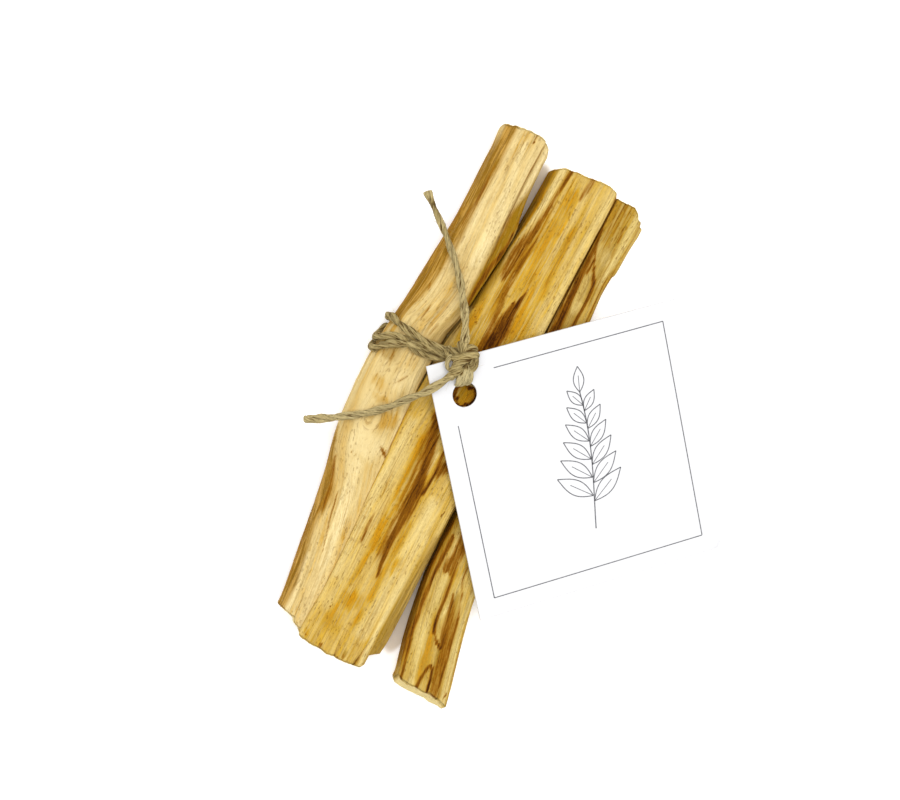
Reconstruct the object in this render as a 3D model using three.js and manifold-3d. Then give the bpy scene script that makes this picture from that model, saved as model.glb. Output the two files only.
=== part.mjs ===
// Three split sticks of aromatic wood, tied round the middle with twine, with a punched paper tag on it.
// Units are millimetres. +Y runs along the middle stick, +X goes from the left stick to the right one,
// and +Z is up. The sticks lie on z = 0, and the origin is under the middle of the bundle and its tag.

import * as THREE from "three";
import { ConvexGeometry } from "three/addons/geometries/ConvexGeometry.js";
import { mergeVertices } from "three/addons/utils/BufferGeometryUtils.js";
import Module from "manifold-3d";

// Driving dimensions. Places are measured from a point under the tie, and ORIGIN is where the origin of the
// finished part lies among them.
const ORIGIN = { x: 16.05, y: -4.8 };
const TWINE_DIAMETER = 1.4;
const ARCH = { centre: 2.2, height: 2.2, flat: 5.6, run: 11 };
const TAG = {
  side: 50.8, thickness: 0.45, cornerRadius: 1.6, holeDiameter: 4.8, holeFromLeft: 6.1, holeFromTop: 7.1,
};
const TAG_TOP_LEFT = new THREE.Vector3(-12.94, -0.47, 16.5);
const TAG_TOP_RIGHT = new THREE.Vector3(24.27, 33.22, 8.66);
const TAG_BOTTOM_LEFT = new THREE.Vector3(19.75, -38.48, 8.29);
const STATION_STEP = 3.6;

const wasm = await Module();
wasm.setup();

// Value at t of a smooth curve through [t, value] pairs with rising t. It is flat beyond the ends and never
// overshoots a pair, because each slope is the harmonic mean of its neighbours, or zero at a turn.
function smooth(pairs, t) {
  const last = pairs.length - 1;
  if (t <= pairs[0][0]) return pairs[0][1];
  if (t >= pairs[last][0]) return pairs[last][1];
  const rise = (k) => (pairs[k + 1][1] - pairs[k][1]) / (pairs[k + 1][0] - pairs[k][0]);
  const slope = (k) => {
    if (k === 0) return rise(0);
    if (k === last) return rise(last - 1);
    const before = rise(k - 1);
    const after = rise(k);
    return before * after > 0 ? (2 * before * after) / (before + after) : 0;
  };
  let k = 0;
  while (t > pairs[k + 1][0]) k += 1;
  const width = pairs[k + 1][0] - pairs[k][0];
  const u = (t - pairs[k][0]) / width;
  const v = 1 - u;
  return (
    pairs[k][1] * v * v * (1 + 2 * u) + slope(k) * width * u * v * v +
    pairs[k + 1][1] * u * u * (3 - 2 * u) - slope(k + 1) * width * u * u * v
  );
}

// Height of the underside over the floor: zero near both ends, and arched over the turns of twine.
function archHeight(y) {
  const beyond = Math.max(0, Math.abs(y - ARCH.centre) - ARCH.flat) / ARCH.run;
  const fall = Math.min(1, beyond);
  return ARCH.height * (1 - fall * fall * (3 - 2 * fall));
}

// A rail is one lengthwise edge of a stick: points [y, x, z] from the near end to the far end.
// A foot is a rail whose height is the arched underside, so its points are [y, x].
// steps is the number of facets across the face that starts at the rail, crown lifts the middle of that
// face and ridge is the height of the flutes that the split left on it.
function rail(steps, crown, ridge, points) {
  const across = points.map(([y, x]) => [y, x]);
  const up = points.map(([y, , z]) => [y, z]);
  const foot = points[0].length === 2;
  return { steps, crown, ridge, at: (y) => [smooth(across, y), foot ? archHeight(y) : smooth(up, y)] };
}

const LEFT_STICK = {
  name: "stick_left",
  seed: 1.3,
  topEnd: [
    [-20.7, 45.9], [-20.0, 47.1], [-18.6, 47.2], [-16.7, 47.6], [-13.8, 47.7], [-12.4, 47.4],
    [-10.9, 46.5], [-10.2, 45.1],
  ],
  bottomEnd: [[-16.0, -53.3], [-12.1, -54.0], [-11.8, -54.8], [-10.4, -55.2]],
  extraStations: [-25.5, -22, -18.3, -14.7, -11, -7.5],
  knot: { x: -16.6, y: -13.5, radius: 9, height: 0.9 },
  rails: [
    rail(3, 0.2, 0.15, [
      [-53, -15.0], [-42, -16.8], [-28, -18.7], [-16, -20.8], [-6, -21.4], [2, -21.2], [12, -20.2],
      [30, -19.2], [46, -19.6],
    ]),
    rail(3, 0.2, 0.25, [
      [-53, -15.8, 5.4], [-44, -16.8, 5.5], [-38, -17.7, 5.6], [-29, -19.3, 6.0], [-22, -20.8, 6.2],
      [-14, -22.0, 6.2], [-7, -22.5, 6.4], [2, -22.1, 6.9], [11, -21.1, 7.2], [21, -20.4, 7.2],
      [30, -19.9, 7.0], [42, -19.8, 7.0], [46, -20.3, 6.8],
    ]),
    rail(6, 0.35, 0.28, [
      [-52, -14.9, 9.1], [-48, -15.0, 9.2], [-43, -15.8, 9.3], [-38, -16.9, 9.4], [-29, -16.8, 9.5],
      [-25, -18.2, 9.5], [-21, -19.9, 9.3], [-12, -20.9, 9.5], [0, -20.7, 10.0], [7, -19.9, 10.8],
      [16, -18.8, 11.3], [25, -18.3, 11.5], [30, -17.6, 11.5], [35, -18.3, 11.4], [40, -18.7, 11.3],
      [46, -18.3, 11.2],
    ]),
    rail(1, 0, 0, [
      [-54, -11.5, 9.2], [-30, -12.2, 9.7], [-14, -12.6, 9.9], [-4, -13.2, 10.8], [5, -12.6, 11.4],
      [10, -11.5, 11.8], [15, -10.8, 12.0], [23, -11.4, 12.1], [33, -12.0, 12.2], [46, -12.1, 12.1],
    ]),
    rail(2, 0.1, 0.12, [
      [-54, -11.2, 8.9], [-30, -11.8, 9.3], [-14, -12.2, 9.4], [-4, -12.7, 9.9], [6, -11.9, 10.5],
      [14, -10.7, 11.1], [22, -11.0, 10.9], [33, -11.5, 10.4], [46, -11.7, 10.2],
    ]),
    rail(3, 0.1, 0.1, [
      [-54, -10.8, 8.5], [-30, -11.4, 8.8], [-14, -11.8, 8.8], [-4, -12.3, 8.9], [5, -11.7, 9.6],
      [12, -10.6, 10.4], [17, -10.1, 10.8], [23, -9.5, 10.6], [28, -9.0, 10.3], [31, -8.9, 10.2],
      [35, -9.5, 10.0], [40, -10.0, 9.8], [45, -10.2, 9.6],
    ]),
    rail(1, 0, 0, [
      [-53, -11.2], [-28, -11.8], [-16, -12.0], [-6, -12.3], [2, -12.3], [12, -11.7], [30, -10.7],
      [46, -11.2],
    ]),
  ],
  cracks: [
    { from: [-13.6, 47.8], to: [-14.1, 38], width: 0.5, depth: 1.6 },
    { from: [-14.2, -2.9], to: [-16.4, -6.6], width: 0.45, depth: 0.8, both: true },
  ],
};

const MIDDLE_STICK = {
  name: "stick_middle",
  seed: 4.1,
  topEnd: [
    [-8.2, 43.5], [-7.0, 44.3], [-6.1, 44.9], [-2.2, 45.2], [-0.3, 45.5], [2.6, 45.8], [4.4, 45.3],
    [5.0, 44.6],
  ],
  bottomEnd: [
    [-10.3, -55.1], [-10.1, -56.1], [-9.0, -56.6], [-6.6, -56.8], [-2.8, -57.0], [1.1, -56.9],
    [3.0, -56.8], [3.6, -56.5], [6.0, -56.2],
  ],
  extraStations: [-54.4, -53.6, -52.9],
  rails: [
    rail(3, 0.1, 0.1, [
      [-55, -9.9], [-42, -9.6], [-28, -10.2], [-16, -10.6], [-6, -11.3], [3, -11.2], [12, -10.6],
      [24, -9.5], [33, -8.0], [44, -7.6],
    ]),
    rail(2, 0.1, 0.12, [
      [-55, -10.0, 9.0], [-45, -9.8, 9.1], [-31, -10.4, 9.2], [-20, -10.9, 9.0], [-8, -11.4, 8.8],
      [3, -11.2, 8.4], [12, -10.1, 8.0], [16, -9.7, 7.8], [22, -9.2, 7.4], [26, -8.8, 7.4],
      [30, -8.5, 7.5], [34, -8.2, 7.5], [38, -7.9, 7.5], [44, -8.0, 7.4],
    ]),
    rail(3, 0.15, 0.22, [
      [-55, -10.2, 10.7], [-46, -9.9, 10.8], [-36, -10.2, 10.9], [-25, -10.8, 10.9],
      [-17, -11.1, 10.9], [-8, -11.6, 10.7], [-2, -11.3, 10.3], [4, -10.4, 10.0], [10, -9.9, 9.9],
      [16, -9.4, 9.9], [22, -8.9, 10.0], [28, -7.9, 10.3], [33, -7.1, 10.5], [40, -6.4, 10.6],
      [45, -5.9, 10.5],
    ]),
    rail(3, 0.15, 0.24, [
      [-56, -5.4, 11.3], [-38, -5.6, 11.5], [-20, -5.8, 11.3], [-4, -5.0, 10.7], [10, -4.3, 10.7],
      [26, -3.4, 10.9], [45, -2.7, 10.9],
    ]),
    rail(3, 0.15, 0.24, [
      [-56, -0.9, 11.3], [-38, -0.6, 11.4], [-20, -0.3, 11.2], [-4, 0.6, 10.4], [10, 1.2, 10.5],
      [26, 1.4, 10.8], [45, 1.6, 10.9],
    ]),
    rail(2, 0.1, 0.12, [
      [-56, 3.3, 10.2], [-50, 3.2, 10.3], [-41, 3.7, 10.4], [-33, 4.3, 10.5], [-25, 4.8, 10.3],
      [-10, 5.2, 9.9], [3, 5.1, 9.6], [20, 4.7, 10.1], [35, 4.8, 10.3], [45, 4.9, 10.2],
    ]),
    rail(2, 0.1, 0.1, [
      [-54.3, 3.7, 6.0], [-53.7, 5.6, 5.6], [-50, 5.9, 5.6], [-27, 5.9, 5.6], [-16, 5.6, 5.6],
      [3, 5.3, 5.6], [20, 4.8, 5.6], [45, 4.9, 5.6],
    ]),
    rail(1, 0, 0, [[-54.3, 3.4], [-53.7, 5.3], [-27, 5.5], [3, 5.0], [20, 4.6], [45, 4.6]]),
  ],
  cracks: [
    { from: [1.7, -57.4], to: [2.9, -50.4], width: 0.6, depth: 2.6 },
    { from: [-5.3, 45.6], to: [-7.6, 27], width: 0.5, depth: 0.9 },
    { from: [-2.2, -57.3], to: [-2.6, -52.5], width: 0.4, depth: 1.4 },
  ],
};

const RIGHT_STICK = {
  name: "stick_right",
  seed: 7.7,
  topEnd: [[5.4, 44.6], [9.1, 44.6], [10.6, 43.9], [11.1, 43.1], [11.8, 42.9], [12.1, 42.1]],
  bottomEnd: [[10.6, -56.2], [11.7, -56.9], [13.7, -57.1], [17.6, -57.1], [22.1, -57.4], [22.5, -57.0]],
  extraStations: [],
  endBevel: { drop: 4.0, run: 1.5 },
  rails: [
    rail(3, 0.1, 0.12, [
      [-56, 11.0], [-50, 9.5], [-46, 8.7], [-35, 7.1], [-26, 6.6], [-10, 6.5], [3, 6.2], [20, 5.6],
      [44, 5.7],
    ]),
    rail(3, 0.2, 0.25, [
      [-56.5, 10.7, 7.7], [-54, 9.9, 7.8], [-50, 8.9, 7.9], [-46, 8.3, 7.9], [-40, 7.3, 8.0],
      [-35, 6.7, 8.0], [-26, 6.5, 8.0], [-10, 6.4, 7.9], [3, 6.1, 7.7], [20, 5.5, 8.1], [44, 5.6, 8.2],
    ]),
    rail(3, 0.2, 0.3, [
      [-56.5, 14.8, 8.4], [-46, 12.4, 8.6], [-36, 10.7, 8.5], [-20, 9.3, 8.2], [3, 8.7, 8.0],
      [20, 7.8, 8.5], [30, 7.6, 8.7], [44, 7.9, 8.6],
    ]),
    rail(2, 0.15, 0.2, [
      [-56.5, 18.8, 8.0], [-46, 16.2, 8.1], [-36, 14.3, 8.0], [-20, 12.2, 7.8], [3, 11.5, 7.7],
      [20, 10.0, 8.2], [30, 9.5, 8.3], [44, 10.1, 8.2],
    ]),
    rail(2, 0.1, 0.15, [
      [-57, 21.2, 7.0], [-52, 20.2, 7.0], [-46, 18.4, 7.1], [-39, 16.9, 7.0], [-20, 14.7, 6.9],
      [3, 13.0, 6.9], [22, 11.5, 7.3], [28, 10.6, 7.4], [34, 11.1, 7.4], [44, 11.3, 7.3],
    ]),
    rail(2, 0.1, 0.15, [
      [-57, 22.3, 5.2], [-52.5, 21.2, 5.2], [-47.6, 20.0, 5.3], [-42.7, 18.9, 5.3], [-38.8, 18.0, 5.3],
      [-36, 17.5, 5.3], [-20, 15.7, 5.3], [3, 13.9, 5.4], [22, 12.3, 5.7], [25, 11.8, 5.7],
      [28, 11.5, 5.7], [31.8, 11.7, 5.7], [33.7, 12.1, 5.7], [39, 12.3, 5.7], [42, 12.7, 5.9],
    ]),
    rail(1, 0, 0, [
      [-57, 21.8], [-47.6, 19.6], [-36, 17.1], [-20, 15.3], [3, 13.5], [22, 11.9], [28, 11.1],
      [41, 11.9],
    ]),
  ],
  cracks: [
    { from: [20.0, -57.9], to: [18.9, -51.5], width: 0.5, depth: 1.4 },
    { from: [13.0, -57.6], to: [12.2, -51.0], width: 0.45, depth: 1.2 },
    { from: [7.4, 45.0], to: [7.0, 36.0], width: 0.45, depth: 1.0 },
  ],
};

// Turns of twine. Each leaves the tie over the left stick and goes down its left side, as its own points
// [x, y, z] say. It then takes the common way round the bundle, a list of [x, z], at its own place along the
// sticks: under the arches, up the right side and back under the tag.
const TURNS = [
  {
    way: 4.6,
    out: [
      [-8.9, 4.75, 14.9], [-10.8, 4.3, 13.9], [-13.2, 3.6, 13.2], [-15.5, 3.6, 12.9], [-17.8, 3.85, 12.7],
      [-19.5, 4.15, 12.3], [-21.2, 4.6, 11.6], [-22.3, 4.85, 10.4], [-22.85, 4.9, 8.6],
      [-22.95, 4.8, 6.6], [-22.7, 4.7, 4.6], [-22.35, 4.6, 2.8],
    ],
  },
  {
    way: 2.8,
    out: [
      [-8.9, 4.2, 14.5], [-9.9, 3.8, 14.0], [-12.5, 2.9, 13.0], [-14.9, 2.3, 12.7], [-17.8, 1.75, 12.5],
      [-20.5, 1.4, 12.2], [-22.5, 0.6, 11.1], [-23.45, 0.1, 9.4], [-23.55, 0.2, 7.4],
      [-23.1, 0.5, 4.8], [-22.55, 1.2, 2.9],
    ],
  },
  {
    way: 0.9,
    out: [
      [-8.9, 3.9, 14.2], [-9.9, 3.3, 13.7], [-11.8, 2.2, 13.0], [-14.1, 1.3, 12.6], [-16.7, 0.8, 12.3],
      [-19.2, 0.1, 12.1], [-21.5, -0.75, 11.2], [-22.95, -1.45, 9.0], [-23.5, -1.55, 7.2],
      [-23.1, -1.3, 4.8], [-22.55, -0.4, 2.9],
    ],
  },
];
const TURN_ROUND = [
  [-21.8, 1.25], [-20.2, 0.93], [-12, 0.93], [0, 0.93], [10, 0.93], [13.2, 0.95], [14.5, 1.5],
  [15.2, 2.8], [15.4, 4.6], [15.1, 6.9], [14.2, 8.3], [12.6, 9.1], [8, 10.3], [3, 11.4], [-3, 12.2],
  [-7.2, 12.5],
];
const TURN_END = [-9.2, 4.5, 13.7];

// Strands of the knot. Each point is [across, down, out] from KNOT: across to the right of the pair of strands
// that goes down to the tag's hole, down along that pair, and out from the tag's face.
const KNOT = new THREE.Vector3(-7.3, 4.0, 16.9);
const KNOT_STRANDS = [
  [[-1.9, -2.6, -2.4], [-1.4, -1.9, -1.2], [-0.6, -1.0, -0.1], [0.2, 0.2, 0.4]],
  [[0.4, 1.4, 0.0], [0.3, 0.2, 0.3], [0.0, -1.3, 0.5], [-0.2, -2.5, 0.6]],
  [
    [-0.8, -1.6, -0.5], [0.8, -2.4, -0.1], [2.2, -2.1, 0.4], [2.3, -1.2, 1.1], [0.8, -0.5, 1.7],
    [-0.9, 0.3, 1.8], [-2.3, 1.1, 1.1], [-2.6, 1.5, 0.2],
  ],
  [[1.4, -2.1, 0.2], [2.4, -1.0, 0.1], [2.6, 0.6, 0.2], [2.1, 1.9, 0.2], [0.9, 2.4, 0.2]],
  [[-1.2, -1.4, 0.1], [-2.5, -0.6, 0.0], [-2.9, 0.6, 0.0], [-2.2, 1.9, 0.2], [-1.0, 2.2, 0.4]],
  [[-0.6, 0.6, 0.4], [-1.7, 1.7, 0.8], [-2.7, 2.4, 1.0]],
];
const HOLE_STRANDS = [-0.68, 0.68].map((side) => [
  [side, -0.4, 0.6], [side, 1.4, 0.7], [side, 3.0, 0.65], [side, 4.3, 0.4], [side, 5.3, -0.35],
  [side, 5.65, -1.5], [side, 5.4, -2.9], [side, 4.2, -3.9], [side, 2.2, -4.3],
]);

// Free ends of the twine, from the knot outwards.
const TAIL_UP = [
  [-9.2, 7.6, 17.4], [-10.1, 9.7, 16.9], [-11.0, 11.3, 16.3], [-12.0, 12.95, 15.6], [-13.3, 14.9, 14.8],
  [-14.6, 16.7, 14.1], [-16.0, 18.4, 13.55], [-17.5, 19.9, 13.15], [-19.1, 21.4, 13.0],
  [-20.7, 22.9, 12.8], [-22.3, 24.3, 12.5], [-23.8, 25.5, 12.1], [-25.0, 26.5, 11.6],
  [-26.2, 27.6, 11.0], [-27.4, 28.7, 10.3],
];
const TAIL_SIDE = [
  [-8.7, -0.6, 18.0], [-9.65, -2.5, 17.9], [-10.3, -3.6, 17.65], [-11.0, -4.75, 17.2], [-11.9, -5.9, 16.5],
  [-12.8, -7.1, 15.6], [-13.9, -8.6, 14.5], [-15.1, -10.2, 13.3], [-16.4, -11.6, 12.4], [-17.8, -12.9, 12.0],
  [-19.3, -14.1, 11.7], [-20.8, -15.2, 11.3], [-22.3, -16.3, 10.6], [-23.7, -17.35, 9.8], [-25.0, -18.2, 9.0],
  [-26.3, -19.05, 8.2], [-27.6, -19.8, 7.2],
];

// Colours, roughness and metalness of the materials.
const FINISHES = {
  stick_left: new THREE.MeshStandardMaterial({ color: 0xd9b97a, roughness: 0.75, metalness: 0 }),
  stick_middle: new THREE.MeshStandardMaterial({ color: 0xc99a4a, roughness: 0.75, metalness: 0 }),
  stick_right: new THREE.MeshStandardMaterial({ color: 0xa87a3c, roughness: 0.75, metalness: 0 }),
  twine: new THREE.MeshStandardMaterial({ color: 0xa39572, roughness: 0.95, metalness: 0 }),
  tag: new THREE.MeshStandardMaterial({ color: 0xf7f7f7, roughness: 0.6, metalness: 0 }),
};

// Turns a three.js geometry into a closed solid, with its faces pointing out.
function toSolid(geometry) {
  geometry.deleteAttribute("normal");
  geometry.deleteAttribute("uv");
  const merged = mergeVertices(geometry, 1e-4);
  const triVerts = new Uint32Array(merged.index.array);
  const vertProperties = new Float32Array(merged.attributes.position.array);
  return new wasm.Manifold(new wasm.Mesh({ numProp: 3, vertProperties, triVerts }));
}

function toGeometry(solid) {
  const mesh = solid.getMesh();
  const geometry = new THREE.BufferGeometry();
  const positions = new Float32Array(mesh.vertProperties);
  geometry.setAttribute("position", new THREE.BufferAttribute(positions, mesh.numProp));
  geometry.setIndex(new THREE.BufferAttribute(new Uint32Array(mesh.triVerts), 1));
  return geometry;
}

// Flutes across a face: waves that wander sideways along the stick and die out at the face's two edges.
function flutes(seed, y, across, t) {
  const wander = 0.9 * Math.sin(0.045 * y + seed) + 0.35 * Math.sin(0.16 * y + 2.1 * seed);
  const broad = Math.sin(1.55 * across + 2.2 * wander + seed);
  const narrow = 0.6 * Math.sin(2.7 * across - 1.7 * wander + 3 * seed);
  return (broad + narrow) * Math.sin(Math.PI * t);
}

// Cross-section of a stick at a station: points [x, z] round the rails, each face crowned and fluted.
function section(stick, y) {
  const corners = stick.rails.map((edge) => edge.at(y));
  const points = [];
  stick.rails.forEach((edge, k) => {
    const [x0, z0] = corners[k];
    const [x1, z1] = corners[(k + 1) % corners.length];
    const width = Math.hypot(x1 - x0, z1 - z0);
    for (let i = 0; i < edge.steps; i += 1) {
      const t = i / edge.steps;
      const lift = edge.crown * 4 * t * (1 - t) + edge.ridge * flutes(stick.seed + k, y, t * width, t);
      const x = x0 + (x1 - x0) * t - ((z1 - z0) / width) * lift;
      const z = z0 + (z1 - z0) * t + ((x1 - x0) / width) * lift;
      points.push([x, z + swelling(stick, x, y, z)]);
    }
  });
  return points;
}

// Extra height on the upper side round a branch knot: a low dome with a dent at its middle.
function swelling(stick, x, y, z) {
  if (!stick.knot) return 0;
  const { radius, height } = stick.knot;
  const r = Math.hypot(x - stick.knot.x, 0.75 * (y - stick.knot.y)) / radius;
  if (r >= 1) return 0;
  const upper = Math.min(1, Math.max(0, (z - 6) / 3));
  return upper * height * ((1 - r * r) ** 2 - 0.55 * Math.exp(-30 * r * r));
}

// Lengthwise place of the broken ends at a point of the section.
function endPlace(stick, ends, sign, x, z) {
  const chips = 0.16 * Math.sin(2.3 * x + stick.seed) + 0.2 * Math.sin(1.1 * z + 1.7 * x + 2 * stick.seed);
  const bevel = stick.endBevel && sign < 0 ? stick.endBevel : { drop: 1, run: 0 };
  const top = stick.rails[2].at(0)[1];
  const sloped = bevel.run * Math.min(1, Math.max(0, (z - (top - bevel.drop)) / bevel.drop));
  return smooth(ends, x) + sign * (chips - sloped);
}

// Closed solid of one stick: sections joined along its length, with chamfered, chipped ends and cracks.
function stickSolid(stick) {
  const mean = (ends) => ends.reduce((sum, [, y]) => sum + y, 0) / ends.length;
  const yBottom = mean(stick.bottomEnd);
  const yTop = mean(stick.topEnd);
  const count = Math.round((yTop - yBottom) / STATION_STEP);
  const stations = Array.from({ length: count + 1 }, (_, i) => yBottom + ((yTop - yBottom) * i) / count);
  stations.push(...stick.extraStations);
  stations.sort((a, b) => a - b);

  const positions = [];
  const indices = [];
  const rings = stations.map((y) => section(stick, y));
  const size = rings[0].length;
  rings.forEach((ring, j) => {
    const t = (stations[j] - yBottom) / (yTop - yBottom);
    ring.forEach(([x, z]) => {
      const low = endPlace(stick, stick.bottomEnd, -1, x, z) + 0.4;
      const high = endPlace(stick, stick.topEnd, 1, x, z) - 0.4;
      positions.push(x, low + (high - low) * t, z);
    });
  });
  for (let j = 0; j + 1 < stations.length; j += 1) {
    for (let i = 0; i < size; i += 1) {
      const next = (i + 1) % size;
      const a = j * size + i;
      const b = j * size + next;
      indices.push(a, b, b + size, a, b + size, a + size);
    }
  }

  // An end is two smaller rings and a middle point, with the outermost ring left as a chamfer.
  const capEnd = (ringStart, ring, ends, sign) => {
    const centre = ring.reduce(([sx, sz], [x, z]) => [sx + x / size, sz + z / size], [0, 0]);
    let outer = ringStart;
    for (const scale of [0.92, 0.5]) {
      const inner = positions.length / 3;
      ring.forEach(([x, z]) => {
        const px = centre[0] + (x - centre[0]) * scale;
        const pz = centre[1] + (z - centre[1]) * scale;
        positions.push(px, endPlace(stick, ends, sign, px, pz), pz);
      });
      for (let i = 0; i < size; i += 1) {
        const next = (i + 1) % size;
        const quad = [outer + i, outer + next, inner + next, inner + i];
        if (sign < 0) quad.reverse();
        indices.push(quad[0], quad[1], quad[2], quad[0], quad[2], quad[3]);
      }
      outer = inner;
    }
    const middle = positions.length / 3;
    positions.push(centre[0], endPlace(stick, ends, sign, ...centre), centre[1]);
    for (let i = 0; i < size; i += 1) {
      const pair = [outer + i, outer + ((i + 1) % size)];
      if (sign < 0) pair.reverse();
      indices.push(...pair, middle);
    }
  };
  capEnd(0, rings[0], stick.bottomEnd, -1);
  capEnd((stations.length - 1) * size, rings[rings.length - 1], stick.topEnd, 1);

  const geometry = new THREE.BufferGeometry();
  geometry.setAttribute("position", new THREE.Float32BufferAttribute(positions, 3));
  geometry.setIndex(indices);
  const cracks = stick.cracks.map((crack) => crackSolid(stick, crack));
  return cracks.reduce((solid, crack) => solid.subtract(crack), toSolid(geometry));
}

// Height of a stick's upper side over a place [x, y].
function topHeight(stick, x, y) {
  const ring = section(stick, y);
  let height = 0;
  for (let i = 0; i + 1 < ring.length; i += 1) {
    const [x0, z0] = ring[i];
    const [x1, z1] = ring[i + 1];
    if (x >= x0 && x < x1) height = Math.max(height, z0 + ((z1 - z0) * (x - x0)) / (x1 - x0));
  }
  return height;
}

// A drying crack: a thin wedge that is wide at its start and runs out to nothing at its end.
function crackSolid(stick, { from, to, width, depth, both }) {
  const start = new THREE.Vector2(...from);
  const end = new THREE.Vector2(...to);
  const along = end.clone().sub(start).normalize();
  const side = new THREE.Vector2(-along.y, along.x).multiplyScalar(width / 2);
  const widest = both ? start.clone().lerp(end, 0.4) : start;
  const above = 1.5;
  const ys = [start.y, end.y].map((y) => Math.max(-52, Math.min(42, y)));
  const zStart = topHeight(stick, start.x, ys[0]);
  const zEnd = topHeight(stick, end.x, ys[1]);
  const zWide = both ? (zStart + zEnd) / 2 : zStart;
  const points = [
    new THREE.Vector3(end.x, end.y, zEnd + above),
    new THREE.Vector3(end.x, end.y, zEnd - 0.1),
    new THREE.Vector3(widest.x + side.x, widest.y + side.y, zWide + above),
    new THREE.Vector3(widest.x - side.x, widest.y - side.y, zWide + above),
    new THREE.Vector3(widest.x, widest.y, zWide - depth),
  ];
  if (both) {
    points.push(new THREE.Vector3(start.x, start.y, zStart + above));
    points.push(new THREE.Vector3(start.x, start.y, zStart - 0.1));
  }
  return toSolid(new ConvexGeometry(points));
}

// Whole route of a turn: out over the left stick, round the bundle and back to the knot.
function turnRoute({ way, out }) {
  const round = TURN_ROUND.map(([x, z]) => [x, way, z]);
  return [...out, ...round, TURN_END];
}

// Tube of twine along hand-laid points, with eight sides and flat ends.
function tube(points, stepLength = 2.6 * TWINE_DIAMETER) {
  const places = points.map((point) => new THREE.Vector3(...point));
  const path = new THREE.CatmullRomCurve3(places, false, "centripetal");
  const circle = new THREE.EllipseCurve(0, 0, TWINE_DIAMETER / 2, TWINE_DIAMETER / 2);
  const section = new THREE.Shape(circle.getPoints(8).slice(0, 8));
  const steps = Math.max(2, Math.round(path.getLength() / stepLength));
  return new THREE.ExtrudeGeometry(section, { steps, bevelEnabled: false, extrudePath: path });
}

// Frame of the tag: right along its top edge, down along its left edge, and out of its printed face.
const tagRight = TAG_TOP_RIGHT.clone().sub(TAG_TOP_LEFT).normalize();
const tagDown = TAG_BOTTOM_LEFT.clone().sub(TAG_TOP_LEFT);
tagDown.addScaledVector(tagRight, -tagDown.dot(tagRight)).normalize();
const tagOut = new THREE.Vector3().crossVectors(tagDown, tagRight);

// Point on the tag's middle plane, by its distances from the left and top edges.
function tagPoint(fromLeft, fromTop) {
  const point = TAG_TOP_LEFT.clone().addScaledVector(tagRight, fromLeft);
  return point.addScaledVector(tagDown, fromTop);
}

function tagGeometry() {
  const { side, cornerRadius } = TAG;
  const corner = new THREE.EllipseCurve(
    side - cornerRadius, cornerRadius - side, cornerRadius, cornerRadius, 0, -Math.PI / 2, true,
  );
  const topLeft = new THREE.Vector2(0, 0);
  const topRight = new THREE.Vector2(side, 0);
  const bottomLeft = new THREE.Vector2(0, -side);
  const outline = new THREE.Shape([topLeft, topRight, ...corner.getPoints(5), bottomLeft]);
  const holeRadius = TAG.holeDiameter / 2;
  const hole = new THREE.EllipseCurve(TAG.holeFromLeft, -TAG.holeFromTop, holeRadius, holeRadius);
  outline.holes.push(new THREE.Path(hole.getPoints(24).slice(0, 24)));
  const geometry = new THREE.ExtrudeGeometry(outline, { depth: TAG.thickness, bevelEnabled: false });
  geometry.translate(0, 0, -TAG.thickness / 2);
  const place = new THREE.Matrix4().makeBasis(tagRight, tagDown.clone().negate(), tagOut);
  return geometry.applyMatrix4(place.setPosition(TAG_TOP_LEFT));
}

// Turns of twine, the knot over the tag's corner and the pair of strands through its hole, as one solid.
function tieSolid() {
  const toHole = tagPoint(TAG.holeFromLeft, TAG.holeFromTop).sub(KNOT).projectOnPlane(tagOut).normalize();
  const acrossPair = new THREE.Vector3().crossVectors(tagOut, toHole);
  const place = ([across, down, out]) => {
    const point = KNOT.clone().addScaledVector(acrossPair, across).addScaledVector(toHole, down);
    return point.addScaledVector(tagOut, out).toArray();
  };
  const core = new THREE.IcosahedronGeometry(1, 1).scale(1.9, 1.9, 0.95);
  core.translate(KNOT.x, KNOT.y, KNOT.z + 0.4);
  const solids = [
    ...TURNS.map((turn) => toSolid(tube(turnRoute(turn), 1.5 * TWINE_DIAMETER))),
    ...KNOT_STRANDS.map((strand) => toSolid(tube(strand.map(place), 1.2 * TWINE_DIAMETER))),
    ...HOLE_STRANDS.map((strand) => toSolid(tube(strand.map(place), 0.8 * TWINE_DIAMETER))),
    toSolid(core),
  ];
  return solids.reduce((whole, solid) => whole.add(solid));
}

// Puts a named mesh in the group, moved from the tie's own place to the origin.
const bundle = new THREE.Group();
function addPiece(name, finish, geometry) {
  geometry.translate(-ORIGIN.x, -ORIGIN.y, 0);
  const mesh = new THREE.Mesh(geometry, finish);
  mesh.name = name;
  bundle.add(mesh);
}

for (const stick of [LEFT_STICK, MIDDLE_STICK, RIGHT_STICK]) {
  addPiece(stick.name, FINISHES[stick.name], toGeometry(stickSolid(stick)));
}
addPiece("twine", FINISHES.twine, toGeometry(tieSolid()));
addPiece("twine_tail_up", FINISHES.twine.clone(), tube(TAIL_UP));
addPiece("twine_tail_side", FINISHES.twine.clone(), tube(TAIL_SIDE));
addPiece("tag", FINISHES.tag, tagGeometry());

export default bundle;
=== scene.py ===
"""Looks of three split sticks of aromatic wood, tied round the middle with twine that holds a punched card.

Sizes that describe a shape are in millimetres and become metres when a mesh is made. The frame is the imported
model's own: +Y runs along the middle stick, +X goes from the left stick to the right one, and +Z is up.
"""

import logging
import math
from dataclasses import dataclass, field
from enum import Enum
from typing import Any, Optional, Union

import bpy
import numpy as np
from mathutils import Matrix, Vector

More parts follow.
